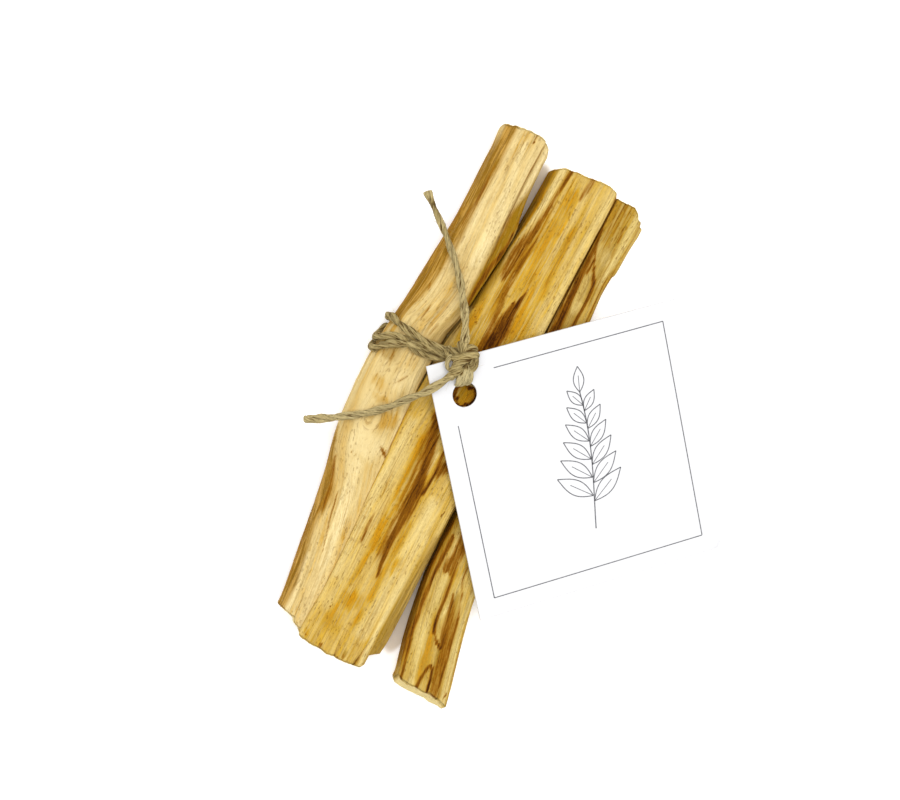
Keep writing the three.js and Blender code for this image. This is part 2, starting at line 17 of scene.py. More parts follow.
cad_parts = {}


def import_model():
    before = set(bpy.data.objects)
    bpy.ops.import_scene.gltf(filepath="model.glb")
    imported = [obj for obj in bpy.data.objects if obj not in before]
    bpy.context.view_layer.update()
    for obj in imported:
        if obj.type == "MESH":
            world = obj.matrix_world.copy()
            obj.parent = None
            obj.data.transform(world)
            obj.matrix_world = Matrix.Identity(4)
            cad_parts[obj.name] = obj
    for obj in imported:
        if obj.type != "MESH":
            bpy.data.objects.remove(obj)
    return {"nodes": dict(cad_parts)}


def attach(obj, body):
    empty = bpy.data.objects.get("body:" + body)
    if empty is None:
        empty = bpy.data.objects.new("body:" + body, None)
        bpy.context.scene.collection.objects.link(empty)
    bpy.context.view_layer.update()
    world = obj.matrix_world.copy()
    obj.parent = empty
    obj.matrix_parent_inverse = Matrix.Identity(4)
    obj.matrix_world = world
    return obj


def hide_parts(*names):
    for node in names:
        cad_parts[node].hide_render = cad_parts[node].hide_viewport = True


Array = np.ndarray
Number = Union[float, "Wire"]
Colour = tuple[float, float, float]
Place = tuple[float, float, float]
Outline = list[tuple[float, float]]
Curve = tuple[tuple[float, float], ...]
Values = dict[str, Array]
Material = bpy.types.Material
Piece = bpy.types.Object

LOG = logging.getLogger("bundle")
MM = 0.001

# Rails, routes and corners are given from a point under the tie, whose place in the frame this is.
TIE_PLACE = np.array([-16.05, 4.8, 0.0])
TWINE_DIAMETER = 1.4

# The hollow of the undersides over the turns of twine: its height and middle, half of its level length, and
# the length over which it is eased down to zero on each side.
HOLLOW_HEIGHT = 2.2
HOLLOW_MIDDLE = 2.2
HOLLOW_HALF = 5.6
HOLLOW_RUN = 11.0


# Curves and noise


def smooth_curve(pairs: Array, at: Array) -> Array:
    """Value of a smooth curve through pairs (place, value) that never overshoots them.

    Between two pairs it is the cubic with the end slopes m, where m is the harmonic mean of the slopes on
    both sides of a pair, or zero at a turn. It is flat beyond the ends.

    Args:
        pairs: Places and values, with rising places, as rows.
        at: Places to evaluate.

    Returns:
        The values, in the shape of at.
    """
    place, value = np.asarray(pairs, float).T
    rise = np.diff(value) / np.diff(place)
    slope = np.zeros(len(place))
    slope[0], slope[-1] = rise[0], rise[-1]
    before, after = rise[:-1], rise[1:]
    same_way = before * after > 0
    total = np.where(same_way, before + after, 1.0)
    slope[1:-1] = np.where(same_way, 2 * before * after / total, 0.0)
    inside = np.clip(at, place[0], place[-1])
    k = np.clip(np.searchsorted(place, inside, side="right") - 1, 0, len(place) - 2)
    width = place[k + 1] - place[k]
    u = (inside - place[k]) / width
    v = 1 - u
    return (
        value[k] * v * v * (1 + 2 * u)
        + slope[k] * width * u * v * v
        + value[k + 1] * u * u * (3 - 2 * u)
        - slope[k + 1] * width * u * u * v
    )


def ease(t: Array) -> Array:
    """Smooth step 3t^2 - 2t^3, with t held to 0..1."""
    t = np.clip(t, 0.0, 1.0)
    return t * t * (3 - 2 * t)


def lattice_noise(x: Array, y: Array, seed: int) -> Array:
    """Smooth noise in -1..1: random at whole places, and blended between them with 3t^2 - 2t^3.

    Args:
        x: First place.
        y: Second place, of the same shape.
        seed: Chooses the random table.

    Returns:
        The noise, in the shape of x.
    """
    table = np.random.default_rng(seed).uniform(-1.0, 1.0, (256, 256))
    i, j = np.floor(x).astype(int), np.floor(y).astype(int)
    u, v = ease(x - i), ease(y - j)
    i0, i1, j0, j1 = i % 256, (i + 1) % 256, j % 256, (j + 1) % 256
    low = table[i0, j0] * (1 - u) + table[i1, j0] * u
    high = table[i0, j1] * (1 - u) + table[i1, j1] * u
    return low * (1 - v) + high * v


def fibre_noise(across: Array, along: Array, width: float, length: float, seed: int) -> Array:
    """Noise drawn out along the grain: two octaves of lattice noise in cells of width by length.

    Args:
        across: Distance across the grain.
        along: Distance along the grain.
        width: Width of a fibre.
        length: Length of a fibre.
        seed: Chooses the random table.

    Returns:
        The noise in about -1..1.
    """
    coarse = lattice_noise(across / width + 100.5, along / length + 100.5, seed)
    fine = lattice_noise(across / width * 2.1 + 60.3, along / length * 1.7 + 40.7, seed + 1)
    return 0.68 * coarse + 0.4 * fine


def centripetal_route(points: Array, spacing: float) -> Array:
    """Evenly spaced points on the centripetal Catmull-Rom curve through given points.

    Knots grow with the square root of each chord, and every span is blended from its four neighbours by
    repeated straight interpolation. The curve is then walked at the even spacing.

    Args:
        points: Rows of x, y, z.
        spacing: Distance between the points of the result.

    Returns:
        Rows of x, y, z.
    """
    p = np.asarray(points, float)
    p = np.vstack([2 * p[0] - p[1], p, 2 * p[-1] - p[-2]])
    gap = np.sqrt(np.linalg.norm(np.diff(p, axis=0), axis=1))
    knot = np.concatenate([[0.0], np.cumsum(gap)])
    share = np.linspace(0.0, 1.0, 25)[:-1]
    t0, t1, t2, t3 = (knot[k : len(knot) - 3 + k, None, None] for k in range(4))
    p0, p1, p2, p3 = (p[k : len(p) - 3 + k, None, :] for k in range(4))
    t = t1 + (t2 - t1) * share[None, :, None]
    a1 = p0 + (p1 - p0) * (t - t0) / (t1 - t0)
    a2 = p1 + (p2 - p1) * (t - t1) / (t2 - t1)
    a3 = p2 + (p3 - p2) * (t - t2) / (t3 - t2)
    b1 = a1 + (a2 - a1) * (t - t0) / (t2 - t0)
    b2 = a2 + (a3 - a2) * (t - t1) / (t3 - t1)
    curve = (b1 + (b2 - b1) * (t - t1) / (t2 - t1)).reshape(-1, 3)
    curve = np.vstack([curve, p[-2]])
    walked = np.concatenate([[0.0], np.cumsum(np.linalg.norm(np.diff(curve, axis=0), axis=1))])
    count = max(3, int(round(walked[-1] / spacing)) + 1)
    places = np.linspace(0.0, walked[-1], count)
    return np.stack([np.interp(places, walked, curve[:, k]) for k in range(3)], axis=1)


def route_frames(route: Array) -> tuple[Array, Array, Array]:
    """Unit tangent and two unit normals at each point of a route.

    The first normal is the route's own flattest direction, freed of its part along the tangent, so it turns
    little along a nearly flat route.

    Args:
        route: Rows of x, y, z.

    Returns:
        Tangents, first normals and second normals.
    """
    tangent = np.gradient(route, axis=0)
    tangent /= np.linalg.norm(tangent, axis=1, keepdims=True)
    flattest = np.linalg.svd(tangent, full_matrices=False)[2][-1]
    first = flattest - tangent * (tangent @ flattest)[:, None]
    first /= np.linalg.norm(first, axis=1, keepdims=True)
    return tangent, first, np.cross(tangent, first)


# Meshes


@dataclass
class Surface:
    """A closed surface: points in millimetres from under the tie, faces, and values for its finish."""

    points: Array
    quads: Array
    tris: Array
    values: Values = field(default_factory=dict)

    @staticmethod
    def joined(parts: list["Surface"]) -> "Surface":
        """One surface from several, with the values that they share.

        Args:
            parts: The surfaces.

        Returns:
            The joined surface.
        """
        starts = np.cumsum([0] + [len(part.points) for part in parts[:-1]])
        shared = set.intersection(*(set(part.values) for part in parts))
        return Surface(
            np.vstack([part.points for part in parts]),
            np.vstack([part.quads + start for part, start in zip(parts, starts)]),
            np.vstack([part.tris + start for part, start in zip(parts, starts)]),
            {name: np.concatenate([part.values[name] for part in parts]) for name in sorted(shared)},
        )

    @staticmethod
    def of_rings(rings: Array, values: Values, loop: bool = False) -> "Surface":
        """Closed surface over rings of points: a tube with a pole at the mean of each end ring, or a loop.

        Args:
            rings: Points in the shape (rings, points of a ring, 3).
            values: Values in the shape (rings, points of a ring), or with a last axis of three.
            loop: Whether the last ring joins the first one. A loop has no values.

        Returns:
            The surface, with its faces outwards.
        """
        count, size = rings.shape[:2]
        index = np.arange(count * size).reshape(count, size)
        after = np.roll(index, -1, axis=1)
        quads = np.stack([index, after, np.roll(after, -1, axis=0), np.roll(index, -1, axis=0)], axis=-1)
        if loop:
            return Surface(rings.reshape(-1, 3), quads.reshape(-1, 4), np.zeros((0, 3), int)).outwards()
        quads = quads[:-1].reshape(-1, 4)
        low, high = count * size, count * size + 1
        near = np.stack([after[0], index[0], np.full(size, low)], axis=-1)
        far = np.stack([index[-1], after[-1], np.full(size, high)], axis=-1)
        points = np.vstack([rings.reshape(-1, 3), rings[0].mean(0), rings[-1].mean(0)])
        flat = {}
        for name, value in values.items():
            rows = value.reshape((count * size,) + value.shape[2:])
            ends = np.stack([value[0].mean(0), value[-1].mean(0)])
            flat[name] = np.concatenate([rows, ends])
        return Surface(points, quads, np.vstack([near, far]), flat).outwards()

    def outwards(self) -> "Surface":
        """The same surface with its faces turned outwards, by the sign of the volume that they enclose."""
        corners = np.vstack([self.quads[:, [0, 1, 2]], self.quads[:, [0, 2, 3]], self.tris])
        a, b, c = (self.points[corners[:, k]] for k in range(3))
        if np.einsum("ij,ij->", a, np.cross(b, c)) < 0:
            self.quads, self.tris = self.quads[:, ::-1], self.tris[:, ::-1]
        return self

    def to_piece(self, name: str, material: Material, slot: str, node: str = "") -> Piece:
        """Makes a piece of the scene: a mesh object in metres that rides the bundle.

        Args:
            name: Name of the object.
            material: Its finish.
            slot: Name of a material slot, not used.
            node: The CAD node that it stands for, if there is one.

        Returns:
            The object, at the origin.
        """
        mesh = bpy.data.meshes.new(name)
        loops = np.concatenate([self.quads.ravel(), self.tris.ravel()]).astype(np.int32)
        four, three = len(self.quads), len(self.tris)
        starts = np.concatenate([np.arange(four) * 4, four * 4 + np.arange(three) * 3])
        mesh.vertices.add(len(self.points))
        place = (self.points + TIE_PLACE) * MM
        mesh.vertices.foreach_set("co", place.astype(np.float32).ravel())
        mesh.loops.add(len(loops))
        mesh.loops.foreach_set("vertex_index", loops)
        mesh.polygons.add(four + three)
        mesh.polygons.foreach_set("loop_start", starts.astype(np.int32))
        mesh.update(calc_edges=True)
        mesh.shade_smooth()
        for label, value in self.values.items():
            vector = value.ndim == 2
            layer = mesh.attributes.new(label, "FLOAT_VECTOR" if vector else "FLOAT", "POINT")
            key = "vector" if vector else "value"
            layer.data.foreach_set(key, value.astype(np.float32).ravel())
        mesh.materials.append(material)
        made = bpy.data.objects.new(name, mesh)
        bpy.context.scene.collection.objects.link(made)
        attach(made, "root")
        if node:
            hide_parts(node)
        return made


# Shader graph


class Wire:
    """A number on a socket of a shader graph. Arithmetic on it adds Math nodes."""

    def __init__(self, graph: "Graph", socket: Optional[bpy.types.NodeSocket]) -> None:
        """Keeps the graph and the socket."""
        self.graph = graph
        self.socket = socket

    def _math(self, operation: str, first: Number, second: Number) -> "Wire":
        """Adds one Math node."""
        return self.graph.node("ShaderNodeMath", {"operation": operation}, {0: first, 1: second})

    def __add__(self, other: Number) -> "Wire":
        """Sum."""
        return self._math("ADD", self, other)

    def __radd__(self, other: Number) -> "Wire":
        """Sum with a number on the left."""
        return self._math("ADD", other, self)

    def __sub__(self, other: Number) -> "Wire":
        """Difference."""
        return self._math("SUBTRACT", self, other)

    def __rsub__(self, other: Number) -> "Wire":
        """Difference from a number on the left."""
        return self._math("SUBTRACT", other, self)

    def __mul__(self, other: Number) -> "Wire":
        """Product."""
        return self._math("MULTIPLY", self, other)

    def __rmul__(self, other: Number) -> "Wire":
        """Product with a number on the left."""
        return self._math("MULTIPLY", other, self)

    def held(self, low: float = 0.0, high: float = 1.0) -> "Wire":
        """The number held between two limits."""
        return self._math("MAXIMUM", self._math("MINIMUM", self, high), low)

    def boosted(self, gain: float) -> "Wire":
        """The number's difference from a half made gain times larger, and held to 0..1."""
        return ((self - 0.5) * gain + 0.5).held()

    def between(self, low: float, high: float) -> "Wire":
        """Smooth step that rises from 0 at low to 1 at high."""
        settings = {"interpolation_type": "SMOOTHSTEP"}
        return self.graph.node("ShaderNodeMapRange", settings, {0: self, 1: low, 2: high, 3: 0.0, 4: 1.0})


class Graph:
    """The node graph of one material, ending in a Principled shader."""

    def __init__(self, name: str) -> None:
        """Makes the material and clears its nodes.

        Args:
            name: Name of the material.
        """
        self.material = bpy.data.materials.new(name)
        self.material.use_nodes = True
        self.tree = self.material.node_tree
        self.tree.nodes.clear()

    def node(self, kind: str, settings: dict[str, Any], inputs: dict[Any, Any], output: int = 0) -> Wire:
        """Adds any node.

        Args:
            kind: Blender's type name of the node.
            settings: Properties, set first. "stops" lists a ramp's stops as (place, colour).
            inputs: Values or wires, by the name or the index of the socket.
            output: Index of the output that is returned.

        Returns:
            The output as a wire.
        """
        made = self.tree.nodes.new(kind)
        for key, value in settings.items():
            if key == "stops":
                self._set_stops(made.color_ramp, value)
            else:
                setattr(made, key, value)
        for key, value in inputs.items():
            if isinstance(value, Wire):
                self.tree.links.new(value.socket, made.inputs[key])
            else:
                made.inputs[key].default_value = value
        return Wire(self, made.outputs[output] if made.outputs else None)

    @staticmethod
    def _set_stops(ramp: bpy.types.ColorRamp, stops: list[tuple[float, tuple[float, ...]]]) -> None:
        """Gives a ramp its stops.

        Args:
            ramp: The ramp, which starts with two stops.
            stops: Place and colour of each stop.
        """
        while len(ramp.elements) < len(stops):
            ramp.elements.new(1.0)
        for element, (place, colour) in zip(ramp.elements, stops):
            element.position = place
            element.color = (*colour, 1.0)

    def attribute(self, name: str, vector: bool = False) -> Wire:
        """A value or a vector of the mesh's own points."""
        return self.node("ShaderNodeAttribute", {"attribute_name": name}, {}, 1 if vector else 2)

    def stretched(self, place: Wire, scale: Place) -> Wire:
        """A place with each axis multiplied by its own number."""
        return self.node("ShaderNodeVectorMath", {"operation": "MULTIPLY"}, {0: place, 1: scale})

    def noise(self, place: Wire, scale: Place, detail: float = 2.0) -> Wire:
        """Noise in 0..1 at a place whose axes are multiplied by scale."""
        values = {"Vector": self.stretched(place, scale), "Scale": 1.0, "Detail": detail}
        return self.node("ShaderNodeTexNoise", {}, values)

    def blend(self, first: Any, second: Any, share: Number, mode: str = "MIX") -> Wire:
        """Two colours mixed.

        Args:
            first: Colour or wire.
            second: Colour or wire.
            share: How much of the second one shows.
            mode: Blender's name of the blend mode.

        Returns:
            The mixed colour.
        """
        settings = {"data_type": "RGBA", "blend_type": mode}
        pair = [c if isinstance(c, Wire) else (*c, 1.0) for c in (first, second)]
        return self.node("ShaderNodeMix", settings, {0: share, 6: pair[0], 7: pair[1]}, 2)

    def bump(self, height: Wire, distance: float, strength: float) -> Wire:
        """Normal of a relief of that height, whose full range is distance in metres."""
        values = {"Strength": strength, "Distance": distance, "Height": height}
        return self.node("ShaderNodeBump", {}, values)

    def finish(self, values: dict[str, Any]) -> Material:
        """Ends the graph in a Principled shader.

        Args:
            values: Values or wires of the shader's sockets, by name.

        Returns:
            The material.
        """
        shader = self.node("ShaderNodeBsdfPrincipled", {}, values)
        self.node("ShaderNodeOutputMaterial", {}, {"Surface": shader})
        return self.material


@dataclass(frozen=True)
class WoodFinish:
    """Raw split wood with resin streaks and painted shade, read from the stick's own grain and marks.

    The grain attribute holds millimetres across the grain, along it, and a number of the stick. The marks
    are amounts in 0..1.
    """

    name: str
    pale: Colour = (0.73, 0.575, 0.275)
    cream: Colour = (0.665, 0.497, 0.205)
    gold: Colour = (0.55, 0.34, 0.08)
    amber: Colour = (0.50, 0.25, 0.02)
    olive: Colour = (0.29, 0.152, 0.006)
    bark: Colour = (0.26, 0.128, 0.008)
    tan: Colour = (0.36, 0.168, 0.007)
    russet: Colour = (0.25, 0.094, 0.003)
    brown: Colour = (0.135, 0.043, 0.0015)
    dark: Colour = (0.06, 0.016, 0.001)
    cut: Colour = (0.86, 0.70, 0.32)
    ripeness: float = 0.3
    band_share: float = 0.4
    pore_share: float = 0.5
    contrast: float = 1.0
    roughness: float = 0.78

    def material(self) -> Material:
        """Builds the material."""
        g = Graph(self.name)
        grain = g.attribute("grain", vector=True)
        fibre = g.noise(grain, (1.9, 0.075, 1.0)).boosted(2.6)
        fine = g.noise(grain, (4.3, 0.3, 1.0)).boosted(2.6)
        speck = g.noise(grain, (3.6, 1.7, 1.0), 1.0).boosted(2.2)
        band = g.noise(grain, (0.62, 0.022, 1.0)).boosted(2.3)
        cloud = g.noise(grain, (0.42, 0.13, 1.0)).boosted(2.2)
        thread = g.noise(grain, (2.7, 0.05, 1.0), 1.0)
        dash = g.noise(grain, (2.7, 1.05, 1.0), 1.0)
        amber, olive, bark = g.attribute("amber"), g.attribute("olive"), g.attribute("bark")
        pale, heart, end = g.attribute("pale"), g.attribute("heart"), g.attribute("end")
        plain = 1.0 - g.attribute("calm")
        weave = 0.5 * (fibre - 0.5) + 0.34 * (fine - 0.5) + 0.16 * (speck - 0.5)
        weave = weave * (0.35 + 0.65 * plain)

        ripe = self.ripeness + self.band_share * (band - 0.5) + 0.2 * (cloud - 0.5)
        ripe = ripe + 0.62 * weave - 0.5 * pale
        ripe = (ripe + amber * (0.42 + 0.4 * (cloud - 0.5) + 0.3 * (band - 0.5) + 0.8 * weave)).held()
        stops = [(0.0, self.pale), (0.3, self.cream), (0.62, self.gold), (1.0, self.amber)]
        colour = g.node("ShaderNodeValToRGB", {"stops": stops}, {0: ripe})
        shade = 0.25 * (fibre - 0.5) + 0.32 * (fine - 0.5) + 0.22 * (speck - 0.5)
        shade = shade * (0.3 + 0.7 * plain) * self.contrast
        warm = {0: 1.0 + shade * 0.8, 1: 1.0 + shade, 2: 1.0 + shade * 1.4}
        colour = g.blend(colour, g.node("ShaderNodeCombineColor", {}, warm), 1.0, "MULTIPLY")
        lines = thread.between(0.59, 0.70) * (0.4 + 0.6 * fine) * plain
        colour = g.blend(colour, self.tan, lines * 0.5)
        pores = dash.between(0.60, 0.72) * cloud.between(0.3, 0.6)
        colour = g.blend(colour, self.russet, pores * self.pore_share)
        # Olive-brown wood, and painted shade on side faces and ledges.
        colour = g.blend(colour, self.olive, (olive * (1.1 + 0.8 * weave)).held())
        colour = g.blend(colour, self.amber, bark * 0.8)
        colour = g.blend(colour, self.bark, (bark * (0.82 + 2.4 * weave + 0.9 * (cloud - 0.5))).held())

        # Resin streaks, and painted shade in the gaps between the sticks and round the card's hole.
        rim = heart * (1.0 - heart) * 4.0
        depth = heart * (1.0 + 0.6 * weave + 0.3 * (cloud - 0.5)) + rim * 0.4 * weave
        stops = [(0.1, self.tan), (0.55, self.russet), (0.88, self.brown), (1.0, self.dark)]
        deep = g.node("ShaderNodeValToRGB", {"stops": stops}, {0: (depth + 0.2 * weave).held()})
        colour = g.blend(colour, deep, depth.between(0.0, 0.62))
        colour = g.blend(colour, self.cut, end * 0.85 * (0.8 + 0.4 * speck).held())

        relief = 0.8 * fibre + 0.6 * fine + 0.4 * speck - 0.7 * pores - 0.5 * lines
        normal = g.bump(relief, 0.0002, 0.8)
        rough = self.roughness + 0.1 * (fine - 0.5)
        values = {"Base Color": colour, "Roughness": rough, "Specular IOR Level": 0.06, "Normal": normal}
        return g.finish(values)


@dataclass(frozen=True)
class TwineFinish:
    """Hairy natural twine. The strand attribute holds millimetres round the strand and along it.

    The tint attribute lightens a place where it is positive and darkens it where it is negative. On the pair
    through the card's hole it is painted shadow under the knot's band and painted light below it.
    """

    name: str = "natural_twine"
    light: Colour = (0.59, 0.465, 0.205)
    mid: Colour = (0.345, 0.25, 0.088)
    deep: Colour = (0.10, 0.050, 0.009)
    lightened: Colour = (0.78, 0.66, 0.36)

    def material(self) -> Material:
        """Builds the material."""
        g = Graph(self.name)
        strand = g.attribute("strand", vector=True)
        groove = g.attribute("groove")
        fibre = g.noise(strand, (1.7, 0.5, 1.0)).boosted(3.0)
        hair = g.noise(strand, (4.0, 1.0, 1.0)).boosted(2.6)
        patch = g.noise(strand, (0.5, 0.3, 1.0)).boosted(2.2)
        tone = 0.5 + 0.9 * (fibre - 0.5) + 0.7 * (hair - 0.5) + 0.5 * (patch - 0.5)
        colour = g.blend(self.mid, self.light, tone.held())
        # Lighter tones, and painted light on the pair through the card's hole.
        tint = g.attribute("tint")
        colour = g.blend(colour, self.lightened, tint.held())
        # Painted shade in the grooves between the plies and between the fibres, with the tint's dark side.
        between = (0.5 - fibre).between(0.08, 0.45) * (0.35 + 0.8 * (1.0 - hair))
        gaps = groove * (0.15 + 0.6 * patch) + between - tint
        colour = g.blend(colour, self.deep, gaps.held())
        normal = g.bump(0.8 * fibre + 0.6 * hair, 0.0003, 1.0)
        values = {"Base Color": colour, "Roughness": 0.88, "Specular IOR Level": 0.1, "Normal": normal}
        return g.finish(values)


@dataclass(frozen=True)
class CardFinish:
    """Smooth white card with a faint fibre mottle."""

    name: str = "white_card"
    white: Colour = (0.74, 0.74, 0.75)
    mottle: Colour = (0.73, 0.73, 0.74)

    def material(self) -> Material:
        """Builds the material."""
        g = Graph(self.name)
        place = g.node("ShaderNodeTexCoord", {}, {}, 3)
        cloud = g.noise(place, (900.0, 900.0, 900.0), 4.0)
        tooth = g.noise(place, (5200.0, 5200.0, 5200.0))
        colour = g.blend(self.white, self.mottle, cloud.between(0.35, 0.7))
        normal = g.bump(tooth, 0.00002, 0.25)
        rough = 0.55 + 0.1 * (tooth - 0.5)
        values = {"Base Color": colour, "Roughness": rough, "Specular IOR Level": 0.3, "Normal": normal}
        return g.finish(values)


@dataclass(frozen=True)
class InkFinish:
    """Soft grey printing ink, a little uneven where the card's tooth shows through."""

    name: str = "grey_ink"
    ink: Colour = (0.13, 0.13, 0.14)
    thin: Colour = (0.23, 0.23, 0.245)

    def material(self) -> Material:
        """Builds the material."""
        g = Graph(self.name)
        place = g.node("ShaderNodeTexCoord", {}, {}, 3)
        cloud = g.noise(place, (2400.0, 2400.0, 2400.0))
        colour = g.blend(self.ink, self.thin, cloud.between(0.4, 0.75))
        return g.finish({"Base Color": colour, "Roughness": 0.6, "Specular IOR Level": 0.2})


@dataclass(frozen=True)
class FloorFinish:
    """Matt white table, lit from within everywhere but in the two gaps between the sticks.

    The gaps get painted shade: a darker, warmer colour and no glow. A gap is its middle x and y, its
    half-sizes and its turn in degrees, in millimetres in the frame.
    """

    name: str = "white_table"
    white: Colour = (0.9, 0.9, 0.905)
    shaded: Colour = (0.74, 0.66, 0.55)
    glow: float = 0.26
    gaps: tuple[tuple[float, ...], ...] = ((-24.6, 41.0, 2.6, 8.6, 0.0), (-9.2, -38.0, 3.0, 10.4, 8.0))

    def _shade(self, g: Graph, place: Wire) -> Wire:
        """How much painted shade a place gets from a gap: an oval that fades out round its edge.

        Args:
            g: The material's graph.
            place: Place on the table, in metres.

        Returns:
            The amount in 0..1.
        """
        across = g.node("ShaderNodeSeparateXYZ", {}, {0: place}, 0)
        along = g.node("ShaderNodeSeparateXYZ", {}, {0: place}, 1)
        total = across * 0.0
        for x, y, half_x, half_y, turn in self.gaps:
            c, s = math.cos(math.radians(turn)), math.sin(math.radians(turn))
            dx, dy = across * (1 / MM) - x, along * (1 / MM) - y
            u, v = (dx * c + dy * s) * (1 / half_x), (dy * c - dx * s) * (1 / half_y)
            total = total + (1.0 - (u * u + v * v).between(0.75, 1.1))
        return total.held()

    def material(self) -> Material:
        """Builds the material."""
        g = Graph(self.name)
        shade = self._shade(g, g.node("ShaderNodeTexCoord", {}, {}, 3))
        return g.finish(
            {
                "Base Color": g.blend(self.white, self.shaded, shade),
                "Roughness": 0.9,
                "Specular IOR Level": 0.1,
                "Emission Color": g.blend((1.0, 0.99, 0.98), (0.0, 0.0, 0.0), shade),
                "Emission Strength": self.glow,
            }
        )


# Wood


class Tone(Enum):
    """What a mark does to the wood's colour."""

    # Resin streaks, and painted shade in the gaps between the sticks and round the card's hole.
    HEART = "heart"
    AMBER = "amber"
    # Olive-brown wood, and painted shade on side faces and ledges.
    OLIVE = "olive"
    BARK = "bark"
    PALE = "pale"


@dataclass(frozen=True)
class Streak:
    """A mark that runs along the grain, as seen from above: rows of y, x and half-width, in the frame."""

    tone: Tone
    strength: float
    line: list[tuple[float, float, float]]
    fade: float = 1.5

    def amount(self, x: Array, y: Array) -> Array:
        """How strong the mark is at each place.

        It falls off smoothly round the half-width, over half of it and a little more to each side, and
        fades out over a length beyond each end.

        Args:
            x: Places across.
            y: Places along.

        Returns:
            Amounts in 0..strength.
        """
        rows = np.array(sorted(self.line))
        off = np.abs(x - smooth_curve(rows[:, :2], y))
        half = smooth_curve(rows[:, [0, 2]], y)
        ends = ease((y - rows[0, 0]) / self.fade + 1) * ease((rows[-1, 0] - y) / self.fade + 1)
        soft = 0.5 * half + 0.13
        return self.strength * ends * ease((half + soft - off) / (2 * soft))


@dataclass(frozen=True)
class Patch:
    """A round or oval mark, as seen from above: centre x, y, half-sizes and a turn in degrees."""

    tone: Tone
    strength: float
    x: float
    y: float
    across: float
    along: float
    turn: float = 0.0

    def amount(self, x: Array, y: Array) -> Array:
        """How strong the mark is at each place: it falls off from 0.5 to 1.5 times the half-sizes.

        Args:
            x: Places across.
            y: Places along.

        Returns:
            Amounts in 0..strength.
        """
        c, s = np.cos(np.radians(self.turn)), np.sin(np.radians(self.turn))
        u = ((x - self.x) * c + (y - self.y) * s) / self.across
        v = ((y - self.y) * c - (x - self.x) * s) / self.along
        return self.strength * ease(1.5 - np.hypot(u, v))


@dataclass(frozen=True)
class Ring:
    """A round line, as seen from above: centre x, y, radius and half-width."""

    tone: Tone
    strength: float
    x: float
    y: float
    radius: float
    half: float

    def amount(self, x: Array, y: Array) -> Array:
        """How strong the mark is at each place: it falls off from 0.5 to 1.5 times the half-width."""
        off = np.abs(np.hypot(x - self.x, y - self.y) - self.radius)
        return self.strength * ease(1.5 - off / self.half)


def marks_of(
    streaks: dict[Tone, list[tuple[Any, ...]]], patches: dict[Tone, list[tuple[float, ...]]]
) -> list[Union[Streak, Patch, Ring]]:
    """Streaks and patches from tables that list the rest of their values under each tone."""
    made = [Streak(tone, *row) for tone, rows in streaks.items() for row in rows]
    return made + [Patch(tone, *row) for tone, rows in patches.items() for row in rows]


@dataclass(frozen=True)
class Rail:
    """One lengthwise edge of a stick: rows of y, x, z from a point under the tie, or y, x for a foot.

    A foot follows the hollow underside. Crown lifts the middle of the face that starts at the rail, and
    ridge is the height of the flutes that the split left on it.
    """

    crown: float
    ridge: float
    rows: list[tuple[float, ...]]

    def at(self, y: Array) -> tuple[Array, Array]:
        """Places x and z of the rail at each y.

        Args:
            y: Places along, from the point under the tie.

        Returns:
            The x and z values.
        """
        rows = np.array(self.rows)
        x = smooth_curve(rows[:, :2], y)
        z = foot_height(y) if rows.shape[1] == 2 else smooth_curve(rows[:, [0, 2]], y)
        return x, z


def foot_height(y: Array) -> Array:
    """Height of the underside: level over the turns of twine, and eased down to zero on each side."""
    beyond = np.maximum(0.0, np.abs(y - HOLLOW_MIDDLE) - HOLLOW_HALF) / HOLLOW_RUN
    return HOLLOW_HEIGHT * (1 - ease(beyond))


@dataclass(frozen=True)
class Crack:
    """A drying crack that is wide at its start and runs out at its end, or widest near its middle."""

    start: tuple[float, float]
    end: tuple[float, float]
    width: float
    depth: float
    both: bool = False

    def amount(self, x: Array, y: Array) -> Array:
        """Depth of the crack as a share in 0..1: a wedge across, which narrows along.

        Args:
            x: Places across.
            y: Places along.

        Returns:
            Shares in 0..1.
        """
        start, end = np.array(self.start), np.array(self.end)
        length = np.linalg.norm(end - start)
        along = (end - start) / length
        dx, dy = x - start[0], y - start[1]
        t = (dx * along[0] + dy * along[1]) / length
        off = np.abs(dy * along[0] - dx * along[1])
        if self.both:
            opening = np.clip(np.minimum(t / 0.4, (1 - t) / 0.6), 0.0, 1.0)
        else:
            opening = np.where(t > -0.2, np.clip(1 - t, 0.0, 1.0), 0.0)
        half = np.maximum(0.5 * self.width * np.sqrt(opening), 1e-6)
        return np.clip(1.15 - off / half, 0.0, 1.0) * np.sqrt(opening)


